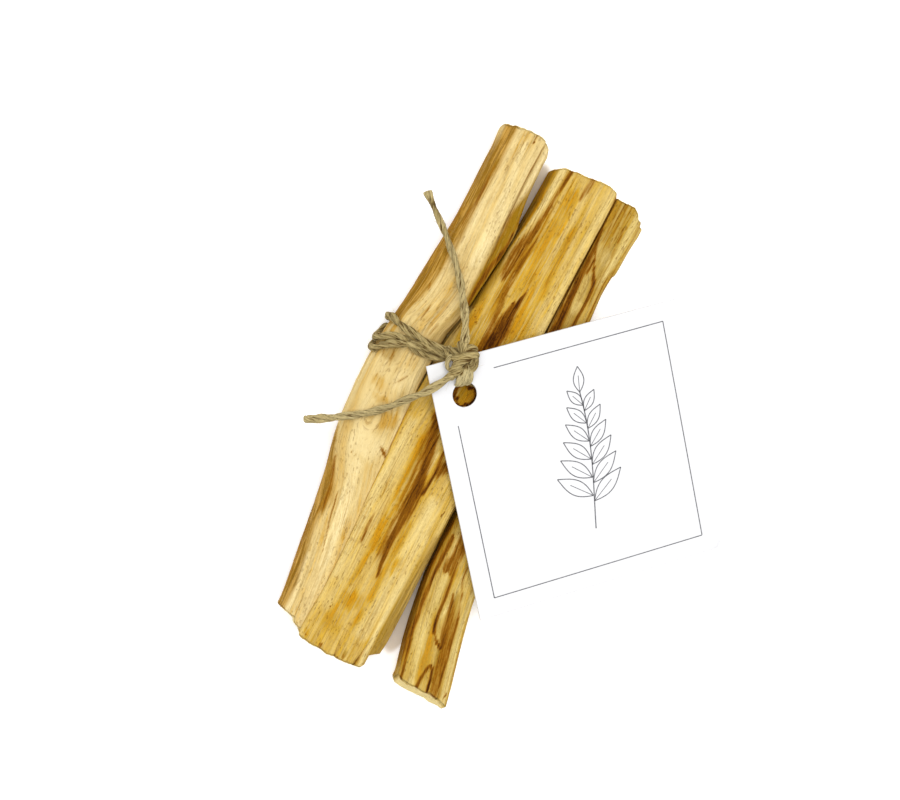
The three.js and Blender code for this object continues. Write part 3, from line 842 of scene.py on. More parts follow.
@dataclass(frozen=True)
class Knot:
    """A branch knot: a low dome on the upper side with a dent in its middle, in the rails' coordinates."""

    x: float
    y: float
    radius: float
    height: float
    eye: float

    def rise(self, x: Array, y: Array, z: Array) -> Array:
        """Extra height at each place, on the upper side: (1 - r^2)^2 less 0.55 exp(-30 r^2).

        Args:
            x: Places across.
            y: Places along.
            z: Heights.

        Returns:
            The extra heights.
        """
        r = np.hypot(x - self.x, 0.75 * (y - self.y)) / self.radius
        dome = np.where(r < 1, (1 - r * r) ** 2 - 0.55 * np.exp(-30 * r * r), 0.0)
        return np.clip((z - 6) / 3, 0.0, 1.0) * self.height * dome

    def calm(self, x: Array, y: Array) -> Array:
        """How little of the fibres shows round the knot, in 0..1: it falls off with the distance."""
        return ease(1.5 - 1.25 * np.hypot(x - self.x, 0.6 * (y - self.y)) / self.radius)

    def swirl(self, x: Array, y: Array) -> Array:
        """Sideways shift of the grain that leads it round the knot, as flow goes round a post.

        Args:
            x: Places across.
            y: Places along.

        Returns:
            Shifts across the grain.
        """
        dx, dy = x - self.x, 0.62 * (y - self.y)
        square = dx * dx + dy * dy
        return -dx * self.eye**2 / (square + 0.3 * self.eye**2)


# The rail that a stick's near bevel is measured from.
TOP_RAIL = 2

# Sizes of a torn end's rings as shares of the end, from its outer edge inwards.
CAP_SIZES = np.array([0.965, 0.93, 0.87, 0.79, 0.7, 0.6, 0.5, 0.4, 0.3, 0.2, 0.1, 0.03])


@dataclass
class Stick:
    """One split stick: a closed surface lofted along its rails, with torn ends, cracks, relief and marks.

    Drift leads the grain sideways. Column and station space the points round the stick and along it, torn
    and ragged roughen its ends and its marks, and its body stops a lip short of its ends.
    """

    node: str
    slot: str
    seed: float
    rails: list[Rail]
    top_end: Outline
    bottom_end: Outline
    finish: WoodFinish
    grain_rail: int
    drift: Outline
    marks: list[Union[Streak, Patch, Ring]]
    cracks: list[Crack] = field(default_factory=list)
    knot: Optional[Knot] = None
    bevel_drop: float = 1.0
    bevel_run: float = 0.0
    column: float = 0.2
    station: float = 0.34
    relief: float = 0.09
    torn: float = 1.0
    ragged: float = 1.0
    lip: float = 0.35

    @property
    def _code(self) -> int:
        """Whole number from which the seeds of the stick's noise are counted."""
        return int(self.seed * 10)

    def _flutes(self, face: int, y: Array, across: Array, t: Array) -> Array:
        """Flutes across a face: two sine waves that wander sideways and die out at its edges.

        Args:
            face: Number of the face.
            y: Places along.
            across: Distance from the face's first rail.
            t: The same as a share of the face's width.

        Returns:
            Heights in about -1.6..1.6, for a ridge of 1.
        """
        seed = self.seed + face
        wander = 0.9 * np.sin(0.045 * y + seed) + 0.35 * np.sin(0.16 * y + 2.1 * seed)
        broad = np.sin(1.55 * across + 2.2 * wander + seed)
        narrow = 0.6 * np.sin(2.7 * across - 1.7 * wander + 3 * seed)
        return (broad + narrow) * np.sin(np.pi * t)

    def _sections(self, y: Array) -> tuple[Array, Array, Array]:
        """Cross-sections at stations.

        Each face goes straight from rail to rail and is lifted by crown times 4t(1 - t) plus its flutes.

        Args:
            y: Stations, from the point under the tie.

        Returns:
            Places x and z and the distance round the section from the grain's own rail, each with one row
            per station.
        """
        corners = [rail.at(y) for rail in self.rails]
        xs, zs, faces = [], [], []
        for k, rail in enumerate(self.rails):
            (x0, z0), (x1, z1) = corners[k], corners[(k + 1) % len(corners)]
            width = np.hypot(x1 - x0, z1 - z0)[:, None]
            count = max(2, int(round(float(width.mean()) / self.column)))
            t = (np.arange(count) / count)[None, :]
            dx, dz = (x1 - x0)[:, None], (z1 - z0)[:, None]
            flutes = self._flutes(k, y[:, None], t * width, t)
            lift = rail.crown * 4 * t * (1 - t) + rail.ridge * flutes
            xs.append(x0[:, None] + dx * t - dz / width * lift)
            zs.append(z0[:, None] + dz * t + dx / width * lift)
            faces.append(np.full(count, k))
        x, z = np.hstack(xs), np.hstack(zs)
        if self.knot:
            z = z + self.knot.rise(x, y[:, None], z)
        kernel = np.array([1.0, 2.0, 3.0, 2.0, 1.0]) / 9.0
        x = sum(w * np.roll(x, k - 2, axis=1) for k, w in enumerate(kernel))
        z = sum(w * np.roll(z, k - 2, axis=1) for k, w in enumerate(kernel))
        step = np.hypot(np.roll(x, -1, axis=1) - x, np.roll(z, -1, axis=1) - z)
        round_ = np.cumsum(step, axis=1) - step
        home = int(np.argmax(np.concatenate(faces) == self.grain_rail))
        return x, z, round_ - round_[:, home : home + 1]

    def _end_place(self, ends: Outline, sign: int, x: Array, z: Array) -> Array:
        """Lengthwise place of a torn end: its outline in x, chips, loose fibres and a bevel near the top.

        Args:
            ends: Outline of the end, as rows of x and y.
            sign: 1 for the far end and -1 for the near end.
            x: Places across.
            z: Heights.

        Returns:
            Places along.
        """
        chips = 0.16 * np.sin(2.3 * x + self.seed) + 0.2 * np.sin(1.1 * z + 1.7 * x + 2 * self.seed)
        code = self._code + 3 * sign
        fibres = 0.11 * lattice_noise(x * 1.3 + 90, z + 90, code)
        fibres = fibres + 0.09 * lattice_noise(x * 4.5 + 90, z * 3.0 + 90, code + 1)
        drop, run = (self.bevel_drop, self.bevel_run) if sign < 0 else (1.0, 0.0)
        top = self.rails[TOP_RAIL].at(np.zeros(1))[1][0]
        sloped = run * np.clip((z - (top - drop)) / drop, 0.0, 1.0)
        return smooth_curve(np.array(ends), x) + sign * (self.torn * (0.3 * chips + fibres) - sloped)

    def _relief(self, across: Array, y: Array, z: Array) -> Array:
        """Relief of the split surface: torn ledges, ridges and fibres along the grain, none underneath.

        Args:
            across: Distance across the grain.
            y: Places along.
            z: Heights.

        Returns:
            Distances outwards.
        """
        ledge = fibre_noise(across, y, 1.6, 26.0, self._code + 11)
        ledge = np.tanh(5.0 * ledge) * 0.5
        ridge = fibre_noise(across, y, 0.85, 15.0, self._code + 13)
        hair = fibre_noise(across, y, 0.42, 5.0, self._code + 15)
        depth = self.relief * (0.75 * ledge + 0.8 * ridge + 0.55 * hair)
        return depth * ease((z - 0.25) / 1.2)

    def _marks(self, x: Array, y: Array, across: Array) -> Values:
        """Amounts of each tone, where the places are first shifted a little by fibre noise.

        Args:
            x: Places across, in the frame.
            y: Places along, in the frame.
            across: Distance across the grain.

        Returns:
            Tone name to amounts.
        """
        shift = 0.13 * fibre_noise(across, y, 1.1, 6.0, self._code + 21)
        shift = shift + 0.16 * fibre_noise(across, y, 3.0, 14.0, self._code + 25)
        shift = shift + 0.09 * fibre_noise(across, y, 0.5, 2.5, self._code + 27)
        shifted = x + self.ragged * shift
        slid = y + 0.9 * fibre_noise(across, y, 0.6, 12.0, self._code + 23)
        found = {tone.value: np.zeros_like(x) for tone in Tone}
        for mark in self.marks:
            name = mark.tone.value
            found[name] = np.maximum(found[name], mark.amount(shifted, slid))
        return found

    def _values(self, x: Array, y: Array, z: Array, grain: Array, up: Array, split: Array) -> Values:
        """Values that the finish reads: marks from above, dark veins low down, dark cracks and the grain.

        Args:
            x: Places across, from the point under the tie.
            y: Places along.
            z: Heights before the relief.
            grain: Distance across the grain.
            up: How much the surface faces up, in -1..1.
            split: Depth of the cracks, in 0..1.

        Returns:
            The values by name.
        """
        marks = self._marks(x + TIE_PLACE[0], y + TIE_PLACE[1], grain)
        underside = ease((-up - 0.3) / 0.5)
        marks = {name: amount * (1 - underside) for name, amount in marks.items()}
        veins = ease(fibre_noise(grain, y, 1.3, 34.0, self._code + 31) * 1.8 - 0.35) * ease((4.5 - z) / 3.0)
        marks["heart"] = np.maximum(np.maximum(marks["heart"], 0.55 * split), 0.75 * veins)
        place = np.stack([grain, y, np.full_like(x, self.seed)], axis=-1)
        return {**marks, "grain": place, "end": np.zeros_like(x), "calm": np.zeros_like(x)}

    def surface(self) -> Surface:
        """The whole stick as one closed surface with its values."""
        low_mean = float(np.mean([y for _, y in self.bottom_end]))
        high_mean = float(np.mean([y for _, y in self.top_end]))
        count = int(round((high_mean - low_mean) / self.station))
        nominal = np.linspace(low_mean, high_mean, count + 1)
        x, z, across = self._sections(nominal)
        low = self._end_place(self.bottom_end, -1, x, z) + self.lip
        high = self._end_place(self.top_end, 1, x, z) - self.lip
        y = low + (high - low) * ((nominal - low_mean) / (high_mean - low_mean))[:, None]
        grain = across + smooth_curve(np.array(self.drift), y)
        if self.knot:
            grain = grain + self.knot.swirl(x, y) * ease((z - 6.0) / 2.5)
        tx = np.roll(x, -1, axis=1) - np.roll(x, 1, axis=1)
        tz = np.roll(z, -1, axis=1) - np.roll(z, 1, axis=1)
        size = np.hypot(tx, tz)
        nx, nz = -tz / size, tx / size
        depth = self._relief(grain, y, z)
        split = np.zeros_like(x)
        faces_up = nz > 0.35
        for crack in self.cracks:
            share = crack.amount(x, y) * faces_up
            split = np.maximum(split, share)
            depth = depth - crack.depth * share
        px, pz = x + nx * depth, np.maximum(z + nz * depth, 0.0)
        body = np.stack([px, y, pz], axis=-1)
        values = self._values(px, y, z, grain, nz, split)
        if self.knot:
            values["calm"] = self.knot.calm(x, y)
        near, near_values = self._cap(-1, self.bottom_end, body[0], {k: v[0] for k, v in values.items()})
        far, far_values = self._cap(1, self.top_end, body[-1], {k: v[-1] for k, v in values.items()})
        merged = {
            name: np.concatenate([near_values[name][::-1], value, far_values[name]])
            for name, value in values.items()
        }
        return Surface.of_rings(np.concatenate([near[::-1], body, far]), merged)

    def _cap(self, sign: int, ends: Outline, ring: Array, values: Values) -> tuple[Array, Values]:
        """Rings of a torn end, from the outer edge inwards, each the end ring shrunk towards its middle.

        Args:
            sign: 1 for the far end and -1 for the near end.
            ends: Outline of the end.
            ring: The body's last ring.
            values: Its values.

        Returns:
            The rings and their values.
        """
        shrink = CAP_SIZES[:, None]
        middle = ring.mean(0)
        x = middle[0] + (ring[None, :, 0] - middle[0]) * shrink
        z = np.maximum(middle[2] + (ring[None, :, 2] - middle[2]) * shrink, 0.0)
        y = self._end_place(ends, sign, x, z) - sign * np.where(shrink > 0.95, 0.12, 0.0)
        made = {
            name: np.broadcast_to(value[None], (len(shrink),) + value.shape).copy()
            for name, value in values.items()
        }
        made["grain"] = np.stack([x * 0.8, z * 6.0, np.full_like(x, self.seed)], axis=-1)
        made["end"] = ease((0.98 - shrink) / 0.12) * np.ones_like(x)
        for tone in (Tone.AMBER, Tone.OLIVE, Tone.BARK, Tone.PALE):
            made[tone.value] = made[tone.value] * (1 - made["end"])
        return np.stack([x, y, z], axis=-1), made

    def build(self) -> Piece:
        """Makes the stick, which stands for its CAD node."""
        return self.surface().to_piece(self.node + "_wood", self.finish.material(), self.slot, self.node)


# Tables of the sticks. The rails follow each other round the stick, from its left foot over the top to its
# right foot. Streaks are listed by tone as strength, rows of y, x and half-width, and a fade where it isn't
# the usual one, and patches as strength, x, y, half-sizes across and along, and a turn.

LEFT_RAILS = [
    Rail(0.2, 0.15, [(-53, -15), (-42, -16.8), (-28, -18.7), (-16, -20.8), (-6, -21.4), (2, -21.2),
        (12, -20.2), (30, -19.2), (46, -19.6)]),
    Rail(0.2, 0.25, [(-53, -15.8, 5.4), (-44, -16.8, 5.5), (-38, -17.7, 5.6), (-29, -19.3, 6),
        (-22, -20.8, 6.2), (-14, -22, 6.2), (-7, -22.5, 6.4), (2, -22.1, 6.9), (11, -21.1, 7.2),
        (21, -20.4, 7.2), (30, -19.9, 7), (42, -19.8, 7), (46, -20.3, 6.8)]),
    Rail(0.35, 0.28, [(-52, -14.9, 9.1), (-48, -15, 9.2), (-43, -15.8, 9.3), (-38, -16.9, 9.4),
        (-29, -16.8, 9.5), (-25, -18.2, 9.5), (-21, -19.9, 9.3), (-12, -20.9, 9.5), (0, -20.7, 10),
        (7, -19.9, 10.8), (16, -18.8, 11.3), (25, -18.3, 11.5), (30, -17.6, 11.5), (35, -18.3, 11.4),
        (40, -18.7, 11.3), (46, -18.3, 11.2)]),
    Rail(0, 0, [(-54, -11, 9.8), (-30, -11.4, 10.3), (-14, -12.1, 10.2), (-4, -13, 10.8), (5, -12.6, 11.4),
        (10, -11.5, 11.8), (15, -10.8, 12), (23, -11.4, 12.1), (33, -12, 12.2), (46, -12.1, 12.1)]),
    Rail(0.1, 0.12, [(-54, -9.8, 9.9), (-30, -10, 10.4), (-14, -10.9, 10.1), (-4, -11.7, 10.2),
        (6, -11.9, 10.5), (14, -10.7, 11.1), (22, -11, 10.9), (33, -11.5, 10.4), (46, -11.7, 10.2)]),
    Rail(0.1, 0.1, [(-54, -9.7, 8.9), (-30, -9.95, 9.3), (-14, -10.9, 9.3), (-4, -11.7, 9.3),
        (5, -11.6, 9.6), (12, -10.6, 10.4), (17, -10.1, 10.8), (23, -9.5, 10.6), (28, -9, 10.3),
        (31, -8.9, 10.2), (35, -9.5, 10), (40, -10, 9.8), (45, -10.2, 9.6)]),
    Rail(0, 0, [(-53, -11.2), (-28, -11.8), (-16, -12), (-6, -12.3), (2, -12.3), (12, -11.7), (30, -10.7),
        (46, -11.2)]),
]
LEFT_STREAKS = {
    Tone.BARK: [
        (1.0, [(54, -35.1, 0.9), (48, -35, 1), (44, -35.2, 1.3), (38, -35.35, 1.4), (34, -35.45, 1.5),
            (30, -35.6, 1.7), (26, -35.8, 1.7), (22, -36, 1.6), (18, -36.4, 1.4), (14, -36.9, 1),
            (10, -37.5, 0.7)]),
        (0.9, [(-14, -37.6, 0.3), (-16.5, -37.1, 0.5), (-20, -36.1, 0.95), (-23.5, -34.8, 1.6),
            (-26.2, -34.1, 1.7), (-29.6, -34.1, 1.2), (-33, -33.8, 1.15), (-36, -33.3, 1.2),
            (-40, -32.7, 1.25), (-43, -32.1, 1.15), (-46, -31.7, 0.95), (-49, -31.4, 0.7)]),
    ],
    Tone.HEART: [
        (0.4, [(43, -34.6, 0.3), (39, -34.4, 0.4), (36, -34.3, 0.35), (31, -34.6, 0.3)]),
        (0.3, [(34, -35.8, 0.4), (28, -36, 0.4), (22, -36.4, 0.35)]),
        (0.45, [(50, -28, 0.2), (44, -28.1, 0.2), (38, -27.9, 0.2), (34, -27.8, 0.15)]),
        (0.3, [(38, -27.5, 0.2), (34, -27.4, 0.25), (27, -27.3, 0.3)]),
        (0.5, [(51, -25.9, 0.16), (46, -25.9, 0.2), (40, -25.6, 0.25), (36, -25.3, 0.3)]),
        # Painted shadow in the crevice between the ledge and the middle stick.
        (0.85, [(34, -25.4, 0.2), (30, -25.6, 0.3), (27, -26.2, 0.6), (24, -26.6, 0.55), (21, -26.9, 0.35),
            (18, -26.9, 0.2)]),
        (0.45, [(14.2, -33.1, 0.12), (12, -33.6, 0.1)], 0.6),
        (0.55, [(12.3, -30.2, 0.12), (9.8, -30.7, 0.12)], 0.6),
        (0.5, [(18.2, -35, 0.16), (17, -34.8, 0.12)], 0.5),
        (0.3, [(48, -32.4, 0.1), (40, -32.3, 0.1), (33, -32.3, 0.12), (27, -31.9, 0.1)]),
        (0.45, [(4.2, -35, 0.25), (1.5, -34.6, 0.12)], 0.8),
        (0.4, [(4.2, -37, 0.25), (2.6, -36.6, 0.15)], 0.8),
        (0.5, [(2, -27.9, 0.13), (-3, -27.6, 0.15), (-8.5, -27.35, 0.16), (-12, -27.4, 0.16),
            (-15.3, -27, 0.15), (-20, -26.9, 0.13), (-24, -26.6, 0.1)]),
        (0.45, [(-19, -35.4, 0.2), (-22, -34.2, 0.4), (-26, -33.2, 0.55), (-29, -33.3, 0.4)]),
        (0.3, [(-33, -33.6, 0.4), (-38, -32.9, 0.5), (-43, -32.2, 0.4)]),
        (0.6, [(-25, -32, 0.1), (-28, -31.3, 0.13), (-31.5, -30.3, 0.1), (-34.5, -29.3, 0.08)]),
        (0.4, [(-28, -28.2, 0.08), (-31, -26.9, 0.1)], 0.8),
    ],
    Tone.PALE: [
        (1.0, [(51, -27.1, 0.35), (44, -27, 0.35), (39, -26.8, 0.3), (35, -26.6, 0.2)]),
        (0.7, [(49, -31.5, 0.5), (42, -30.7, 0.7), (35, -30, 0.9), (26, -29.6, 0.9)]),
        (0.6, [(36, -33.4, 0.3), (30, -33.3, 0.4), (24, -33.2, 0.4)]),
        (0.8, [(-18, -31.2, 0.9), (-24, -30.2, 0.9), (-30, -29.2, 0.8), (-37, -28.3, 0.6)]),
        (0.9, [(-38, -31.4, 0.35), (-43, -30.7, 0.4), (-48.5, -30, 0.45)]),
    ],
    Tone.OLIVE: [
        # Painted shade on the ledge and side face along the right edge.
        (1.0, [(53, -25.6, 0.6), (44, -25.7, 0.8), (38, -26.2, 1.3), (30, -26.2, 1.6), (24, -26.3, 1.5),
            (18, -26.6, 1)]),
        # Painted shade where the top rounds down to the middle stick near the tie.
        (0.55, [(17, -27.6, 0.6), (12.5, -28.2, 1.4), (8.5, -28.6, 1.9), (7, -28.8, 1.9)]),
        (0.5, [(5, -36, 2.2), (3, -35.6, 1.6)], 1.2),
    ],
    Tone.AMBER: [
        (0.5, [(20, -37, 0.6), (12, -37.2, 0.8), (6, -38, 1.2), (3, -38.2, 1)]),
        (0.35, [(30, -31.2, 0.4), (20, -31, 0.6), (12, -31.5, 0.5)]),
        (0.3, [(-30, -31.2, 0.5), (-36, -29.8, 0.7), (-42, -29, 0.8), (-48, -28.8, 0.8)]),
        (0.3, [(-17, -28.4, 0.8), (-24, -27.4, 0.6), (-31, -27.2, 0.5)]),
    ],
}
LEFT_PATCHES = {
    Tone.HEART: [(0.9, -30.1, 51.2, 0.22, 0.3), (0.55, -28, -13.8, 0.36, 1.2, 50),
        (0.5, -33.4, -16.4, 0.14, 0.3), (0.5, -32.3, -16.9, 0.12, 0.25)],
    Tone.AMBER: [(0.75, -35, -2.4, 1.3, 1.5), (0.6, -33.8, -4.6, 1.9, 0.7),
        (0.55, -30.2, -7.9, 2.5, 1.5, -6), (0.4, -28.3, 2, 1, 3)],
    Tone.PALE: [(0.7, -31.5, -13.5, 3.2, 2.6), (0.5, -31.2, 0, 1.8, 2.2)],
}


def left_stick() -> Stick:
    """The pale stick on the left, with a dark bevelled edge and a branch knot."""
    return Stick(
        node="stick_left",
        slot="wood_left",
        seed=1.3,
        rails=LEFT_RAILS,
        top_end=[
            (-20.7, 45.9), (-20.0, 47.1), (-18.6, 47.2), (-16.7, 47.6), (-13.8, 47.7), (-12.4, 47.4),
            (-10.9, 46.5), (-10.2, 45.1),
        ],
        bottom_end=[(-16.0, -53.3), (-12.1, -54.0), (-11.8, -54.8), (-10.4, -55.2)],
        finish=WoodFinish("cream_wood", pore_share=0.3, contrast=0.95),
        grain_rail=3,
        drift=[(-60, -7.6), (-44, -6.2), (-30, -3.6), (-19, -0.8), (-8, 0.0), (50, 0.0)],
        marks=marks_of(LEFT_STREAKS, LEFT_PATCHES),
        cracks=[
            Crack((-13.9, 47.8), (-14.2, 44.5), 0.4, 0.6),
            Crack((-14.2, -2.9), (-16.4, -6.6), 0.5, 0.5, both=True),
        ],
        knot=Knot(-16.6, -13.5, 9.0, 0.9, 1.8),
    )


MIDDLE_RAILS = [
    Rail(0.1, 0.1, [(-55, -9.9), (-42, -9.6), (-28, -10.2), (-16, -10.6), (-6, -11.3), (3, -11.2),
        (12, -10.6), (24, -9.5), (33, -8), (44, -7.6)]),
    Rail(0.1, 0.12, [(-55, -10, 9), (-45, -9.8, 9.1), (-31, -10.4, 9.2), (-20, -10.9, 9), (-8, -11.4, 8.8),
        (3, -11.2, 8.6), (12, -10.1, 8.8), (16, -9.7, 9), (22, -9.2, 9), (26, -8.8, 9.1), (30, -8.5, 9.2),
        (34, -8.2, 9.2), (38, -7.9, 9.2), (44, -8, 9)]),
    Rail(0.15, 0.22, [(-55, -10.2, 10.7), (-46, -9.9, 10.8), (-36, -10.2, 10.9), (-25, -10.8, 10.9),
        (-17, -11.1, 10.9), (-8, -11.6, 10.7), (-2, -11.3, 10.3), (4, -10.4, 10), (10, -9.9, 9.9),
        (16, -9.4, 9.9), (22, -8.9, 10), (28, -7.9, 10.3), (33, -7.1, 10.5), (40, -6.4, 10.6),
        (45, -5.9, 10.5)]),
    Rail(0.15, 0.24, [(-56, -5.4, 11.3), (-38, -5.6, 11.5), (-20, -5.8, 11.3), (-4, -5, 10.7),
        (10, -4.3, 10.7), (26, -3.4, 10.9), (45, -2.7, 10.9)]),
    Rail(0.15, 0.24, [(-56, -0.9, 11.3), (-38, -0.6, 11.4), (-20, -0.3, 11.2), (-4, 0.6, 10.4),
        (10, 1.2, 10.5), (26, 1.4, 10.8), (45, 1.6, 10.9)]),
    Rail(0.1, 0.12, [(-56, 3.6, 10.2), (-50, 3.6, 10.3), (-41, 4, 10.4), (-33, 4.4, 10.5), (-25, 4.8, 10.3),
        (-10, 5.2, 9.9), (3, 5.1, 9.6), (20, 4.7, 10.1), (35, 4.8, 10.3), (45, 4.9, 10.2)]),
    Rail(0.1, 0.1, [(-54.3, 4.1, 6), (-53.7, 6.1, 5.6), (-50, 6.4, 5.6), (-27, 6, 5.6), (-16, 5.6, 5.6),
        (3, 5.3, 5.6), (20, 4.8, 5.6), (45, 4.9, 5.6)]),
    Rail(0, 0, [(-54.3, 3.4), (-53.7, 5.3), (-27, 5.5), (3, 5), (20, 4.6), (45, 4.6)]),
]
MIDDLE_STREAKS = {
    Tone.AMBER: [
        (0.8, [(49, -23.8, 0.5), (42, -23.9, 0.5), (36, -24.4, 0.5), (30, -25, 0.5)]),
        (0.9, [(40, -21.2, 0.9), (33, -21.4, 1.4), (26, -21.6, 1.3), (18, -21.6, 1)]),
        (0.7, [(46, -18.8, 1), (36, -18.6, 1.4), (26, -17.6, 1.3), (17, -16, 1.4)]),
        (0.5, [(40, -15.6, 0.6), (32, -15.6, 0.8), (24, -15, 0.9), (16, -14.5, 1.2)]),
        (0.6, [(24, -23.2, 1.2), (18, -23.4, 1.6), (12, -23.5, 1.8)]),
        (1.0, [(10, -20.3, 2.4), (3, -20, 2.8), (-3, -21, 2)]),
        (1.0, [(-8, -22, 1.2), (-13, -21.8, 1.2), (-17, -21.4, 1.1), (-20, -21, 0.9)]),
        (1.0, [(-22, -20.9, 0.7), (-26, -21.2, 0.9), (-30, -20.6, 1.3)]),
        (0.85, [(-24, -17.3, 0.4), (-30, -17.2, 0.45), (-36, -17.4, 0.4), (-39, -17.4, 0.5)]),
        (0.6, [(-31, -21.6, 0.3), (-35, -21.7, 0.4), (-38, -22, 0.3)]),
    ],
    Tone.OLIVE: [
        (0.5, [(50, -23.9, 0.5), (46, -23.9, 0.4)]),
        (0.9, [(31, -25, 0.4), (26, -24.9, 0.8), (22.5, -25.3, 0.8), (19, -25.6, 0.5)]),
        (0.4, [(-8.5, -21.7, 0.6), (-13, -21.6, 0.6), (-16, -21.3, 0.5)]),
        # Painted shade on the sloping right side face in the lower half.
        (0.45, [(-24, -11.6, 0.5), (-32, -11.9, 0.7), (-44, -11.7, 1), (-49, -11.4, 1.1)]),
    ],
    Tone.PALE: [
        (0.8, [(49, -22.5, 0.5), (42, -22.8, 0.42), (38, -23.3, 0.38), (34, -24, 0.34), (30, -24.4, 0.3),
            (25, -24.9, 0.22)]),
        (0.45, [(52, -12.4, 0.9), (40, -12.3, 0.9), (30, -12.2, 0.9), (20, -12.2, 0.9)]),
        (0.35, [(50, -15.2, 0.5), (43, -14.9, 0.5), (36, -14.7, 0.4)]),
        (0.9, [(-9.5, -18.8, 0.16), (-13.5, -18.6, 0.2)], 0.8),
        (0.7, [(-25, -13.1, 0.5), (-34, -12.9, 0.5), (-44, -13.2, 0.5), (-52, -13.1, 0.5)]),
        # Painted highlight along the left rim in the lower half.
        (0.55, [(-6, -26, 0.9), (-16, -26, 0.9), (-28, -25.4, 0.8), (-38, -24.8, 0.9)]),
        (0.55, [(-18, -15.2, 1.2), (-26, -14.9, 1.5), (-36, -14.6, 1.6), (-46, -15.4, 1.6)]),
        (0.35, [(-8, -24.6, 1.2), (-20, -23.8, 1.2), (-32, -23.4, 1.2), (-44, -24, 1.2)]),
    ],
    Tone.HEART: [
        (0.62, [(52, -21, 0.3), (47, -21.3, 0.34), (43, -21.5, 0.36), (39, -21.8, 0.5), (36, -22.1, 0.8),
            (33, -22.6, 1.15), (30, -23, 1.2), (27, -23.2, 0.8)], 3.0),
        (0.3, [(42, -21, 0.5), (36, -21.2, 0.8), (28, -21.6, 1), (22, -21.8, 1.1)], 4.0),
        (0.56, [(35, -20.9, 0.2), (31, -21.4, 0.35), (27, -21.5, 0.45), (23, -21.5, 0.6), (20, -21.2, 0.6),
            (16, -21, 0.6), (12, -20.9, 0.6)], 3.0),
        (0.5, [(51, -16.9, 0.6), (47.8, -17, 0.55), (45.8, -17.2, 0.3)]),
        (0.3, [(50, -19.9, 0.14), (45, -19.9, 0.14)]),
        (0.85, [(25, -18.1, 0.15), (23, -18.6, 0.55), (21, -18.9, 0.85), (18, -19, 1.35), (15, -19.2, 1.6),
            (12.5, -19.9, 1.3), (9, -20.4, 1.2)]),
        (0.3, [(28, -25.2, 0.3), (25, -25.2, 0.6), (22.5, -25.6, 0.5)]),
        (0.35, [(36, -15.4, 0.12), (31, -15.6, 0.2), (28, -15.5, 0.12)]),
        (0.32, [(33, -18.4, 0.14), (28, -18.4, 0.2), (26, -18.2, 0.14)]),
        (0.75, [(18.8, -26, 0.1), (17.4, -24.7, 0.1), (16, -23.6, 0.1)], 0.4),
        (0.5, [(11, -20.3, 1.2), (7.4, -20.6, 1.3)]),
        (0.5, [(-0.6, -21, 1.4), (-3, -21.8, 1)]),
        (0.3, [(4.8, -20.5, 0.14), (1.6, -20.9, 0.2)]),
        (0.45, [(-6, -21.4, 1.5), (-10, -20.8, 1.6), (-14, -20.3, 1.6), (-18, -19.7, 1.7),
            (-22, -19.4, 1.5), (-26, -19.6, 1.2), (-30, -19.4, 0.9)], 4.0),
        (0.78, [(-3, -22, 1), (-5, -21.4, 1.05), (-8, -20.7, 1.1), (-11, -20.1, 1.1), (-14, -19.7, 1.05),
            (-17, -19.3, 1.15), (-21, -19, 1.1), (-24, -19, 0.9), (-27, -19, 0.7), (-29.5, -18.8, 0.5),
            (-32, -18.5, 0.36), (-34.5, -18, 0.3)]),
        (0.75, [(-7, -18, 0.3), (-9.5, -17.8, 0.34), (-13, -17.6, 0.3), (-17, -17.9, 0.36)]),
        (0.55, [(-24.8, -24.2, 0.14), (-27, -24.2, 0.28), (-29, -24, 0.3), (-30, -23.9, 0.2)]),
        # Painted shade along the right edge, by the gap to the right stick.
        (0.62, [(52, -11.1, 0.2), (36, -11.1, 0.2), (18, -11.2, 0.2)]),
        # Painted shade along the left edge, by the gap to the left stick.
        (0.6, [(38.8, -24.4, 0.15), (34.8, -24.7, 0.2), (30.8, -25, 0.22), (26.8, -25.4, 0.22),
            (20.8, -25.9, 0.2)]),
        (0.38, [(-20.5, -22.9, 0.12), (-24, -22.6, 0.16), (-26.4, -22.5, 0.16)]),
        (0.32, [(-35.5, -20.5, 0.1), (-38, -20.9, 0.14)]),
        (0.32, [(-36, -21.9, 0.14), (-38.4, -22, 0.12)]),
        (0.35, [(-12, -24.6, 0.1), (-18, -24.6, 0.14), (-21, -24.4, 0.1)]),
        (0.3, [(-6, -25, 0.1), (-14, -25.2, 0.12), (-19, -25.4, 0.1)]),
    ],
}
MIDDLE_PATCHES = {
    Tone.HEART: [(1.0, -19.7, 14.3, 0.9, 2.4, -6), (0.95, -19.4, 21.9, 0.24, 0.4, -35),
        (0.5, -15.9, 38.4, 0.16, 0.35), (0.45, -18, 38, 0.14, 0.3), (0.3, -18.2, 3.4, 0.7, 1.7, -20),
        (0.6, -16.5, -11.4, 1.1, 2.2, -12), (0.8, -12.6, -18.8, 0.2, 0.42, -35),
        (0.7, -23.4, -43.8, 0.18, 0.18), (0.4, -16.7, -51.2, 0.3, 0.6), (0.5, -17.6, -51.8, 0.25, 0.6),
        (0.45, -21.6, -51, 0.4, 0.6), (0.6, -25.1, -50.6, 0.2, 0.25)],
    Tone.OLIVE: [(0.48, -20.1, 3.2, 1.7, 2.4), (0.6, -16.7, -50.7, 0.5, 0.9)],
    Tone.AMBER: [(1.0, -20.2, -41, 1.9, 1.7), (0.9, -15.9, -31.4, 0.7, 1.7), (0.8, -17.6, -43.5, 0.45, 1.6),
        (0.55, -22, -45.5, 1.2, 2.6), (0.7, -25.1, -50.4, 0.5, 0.8)],
}


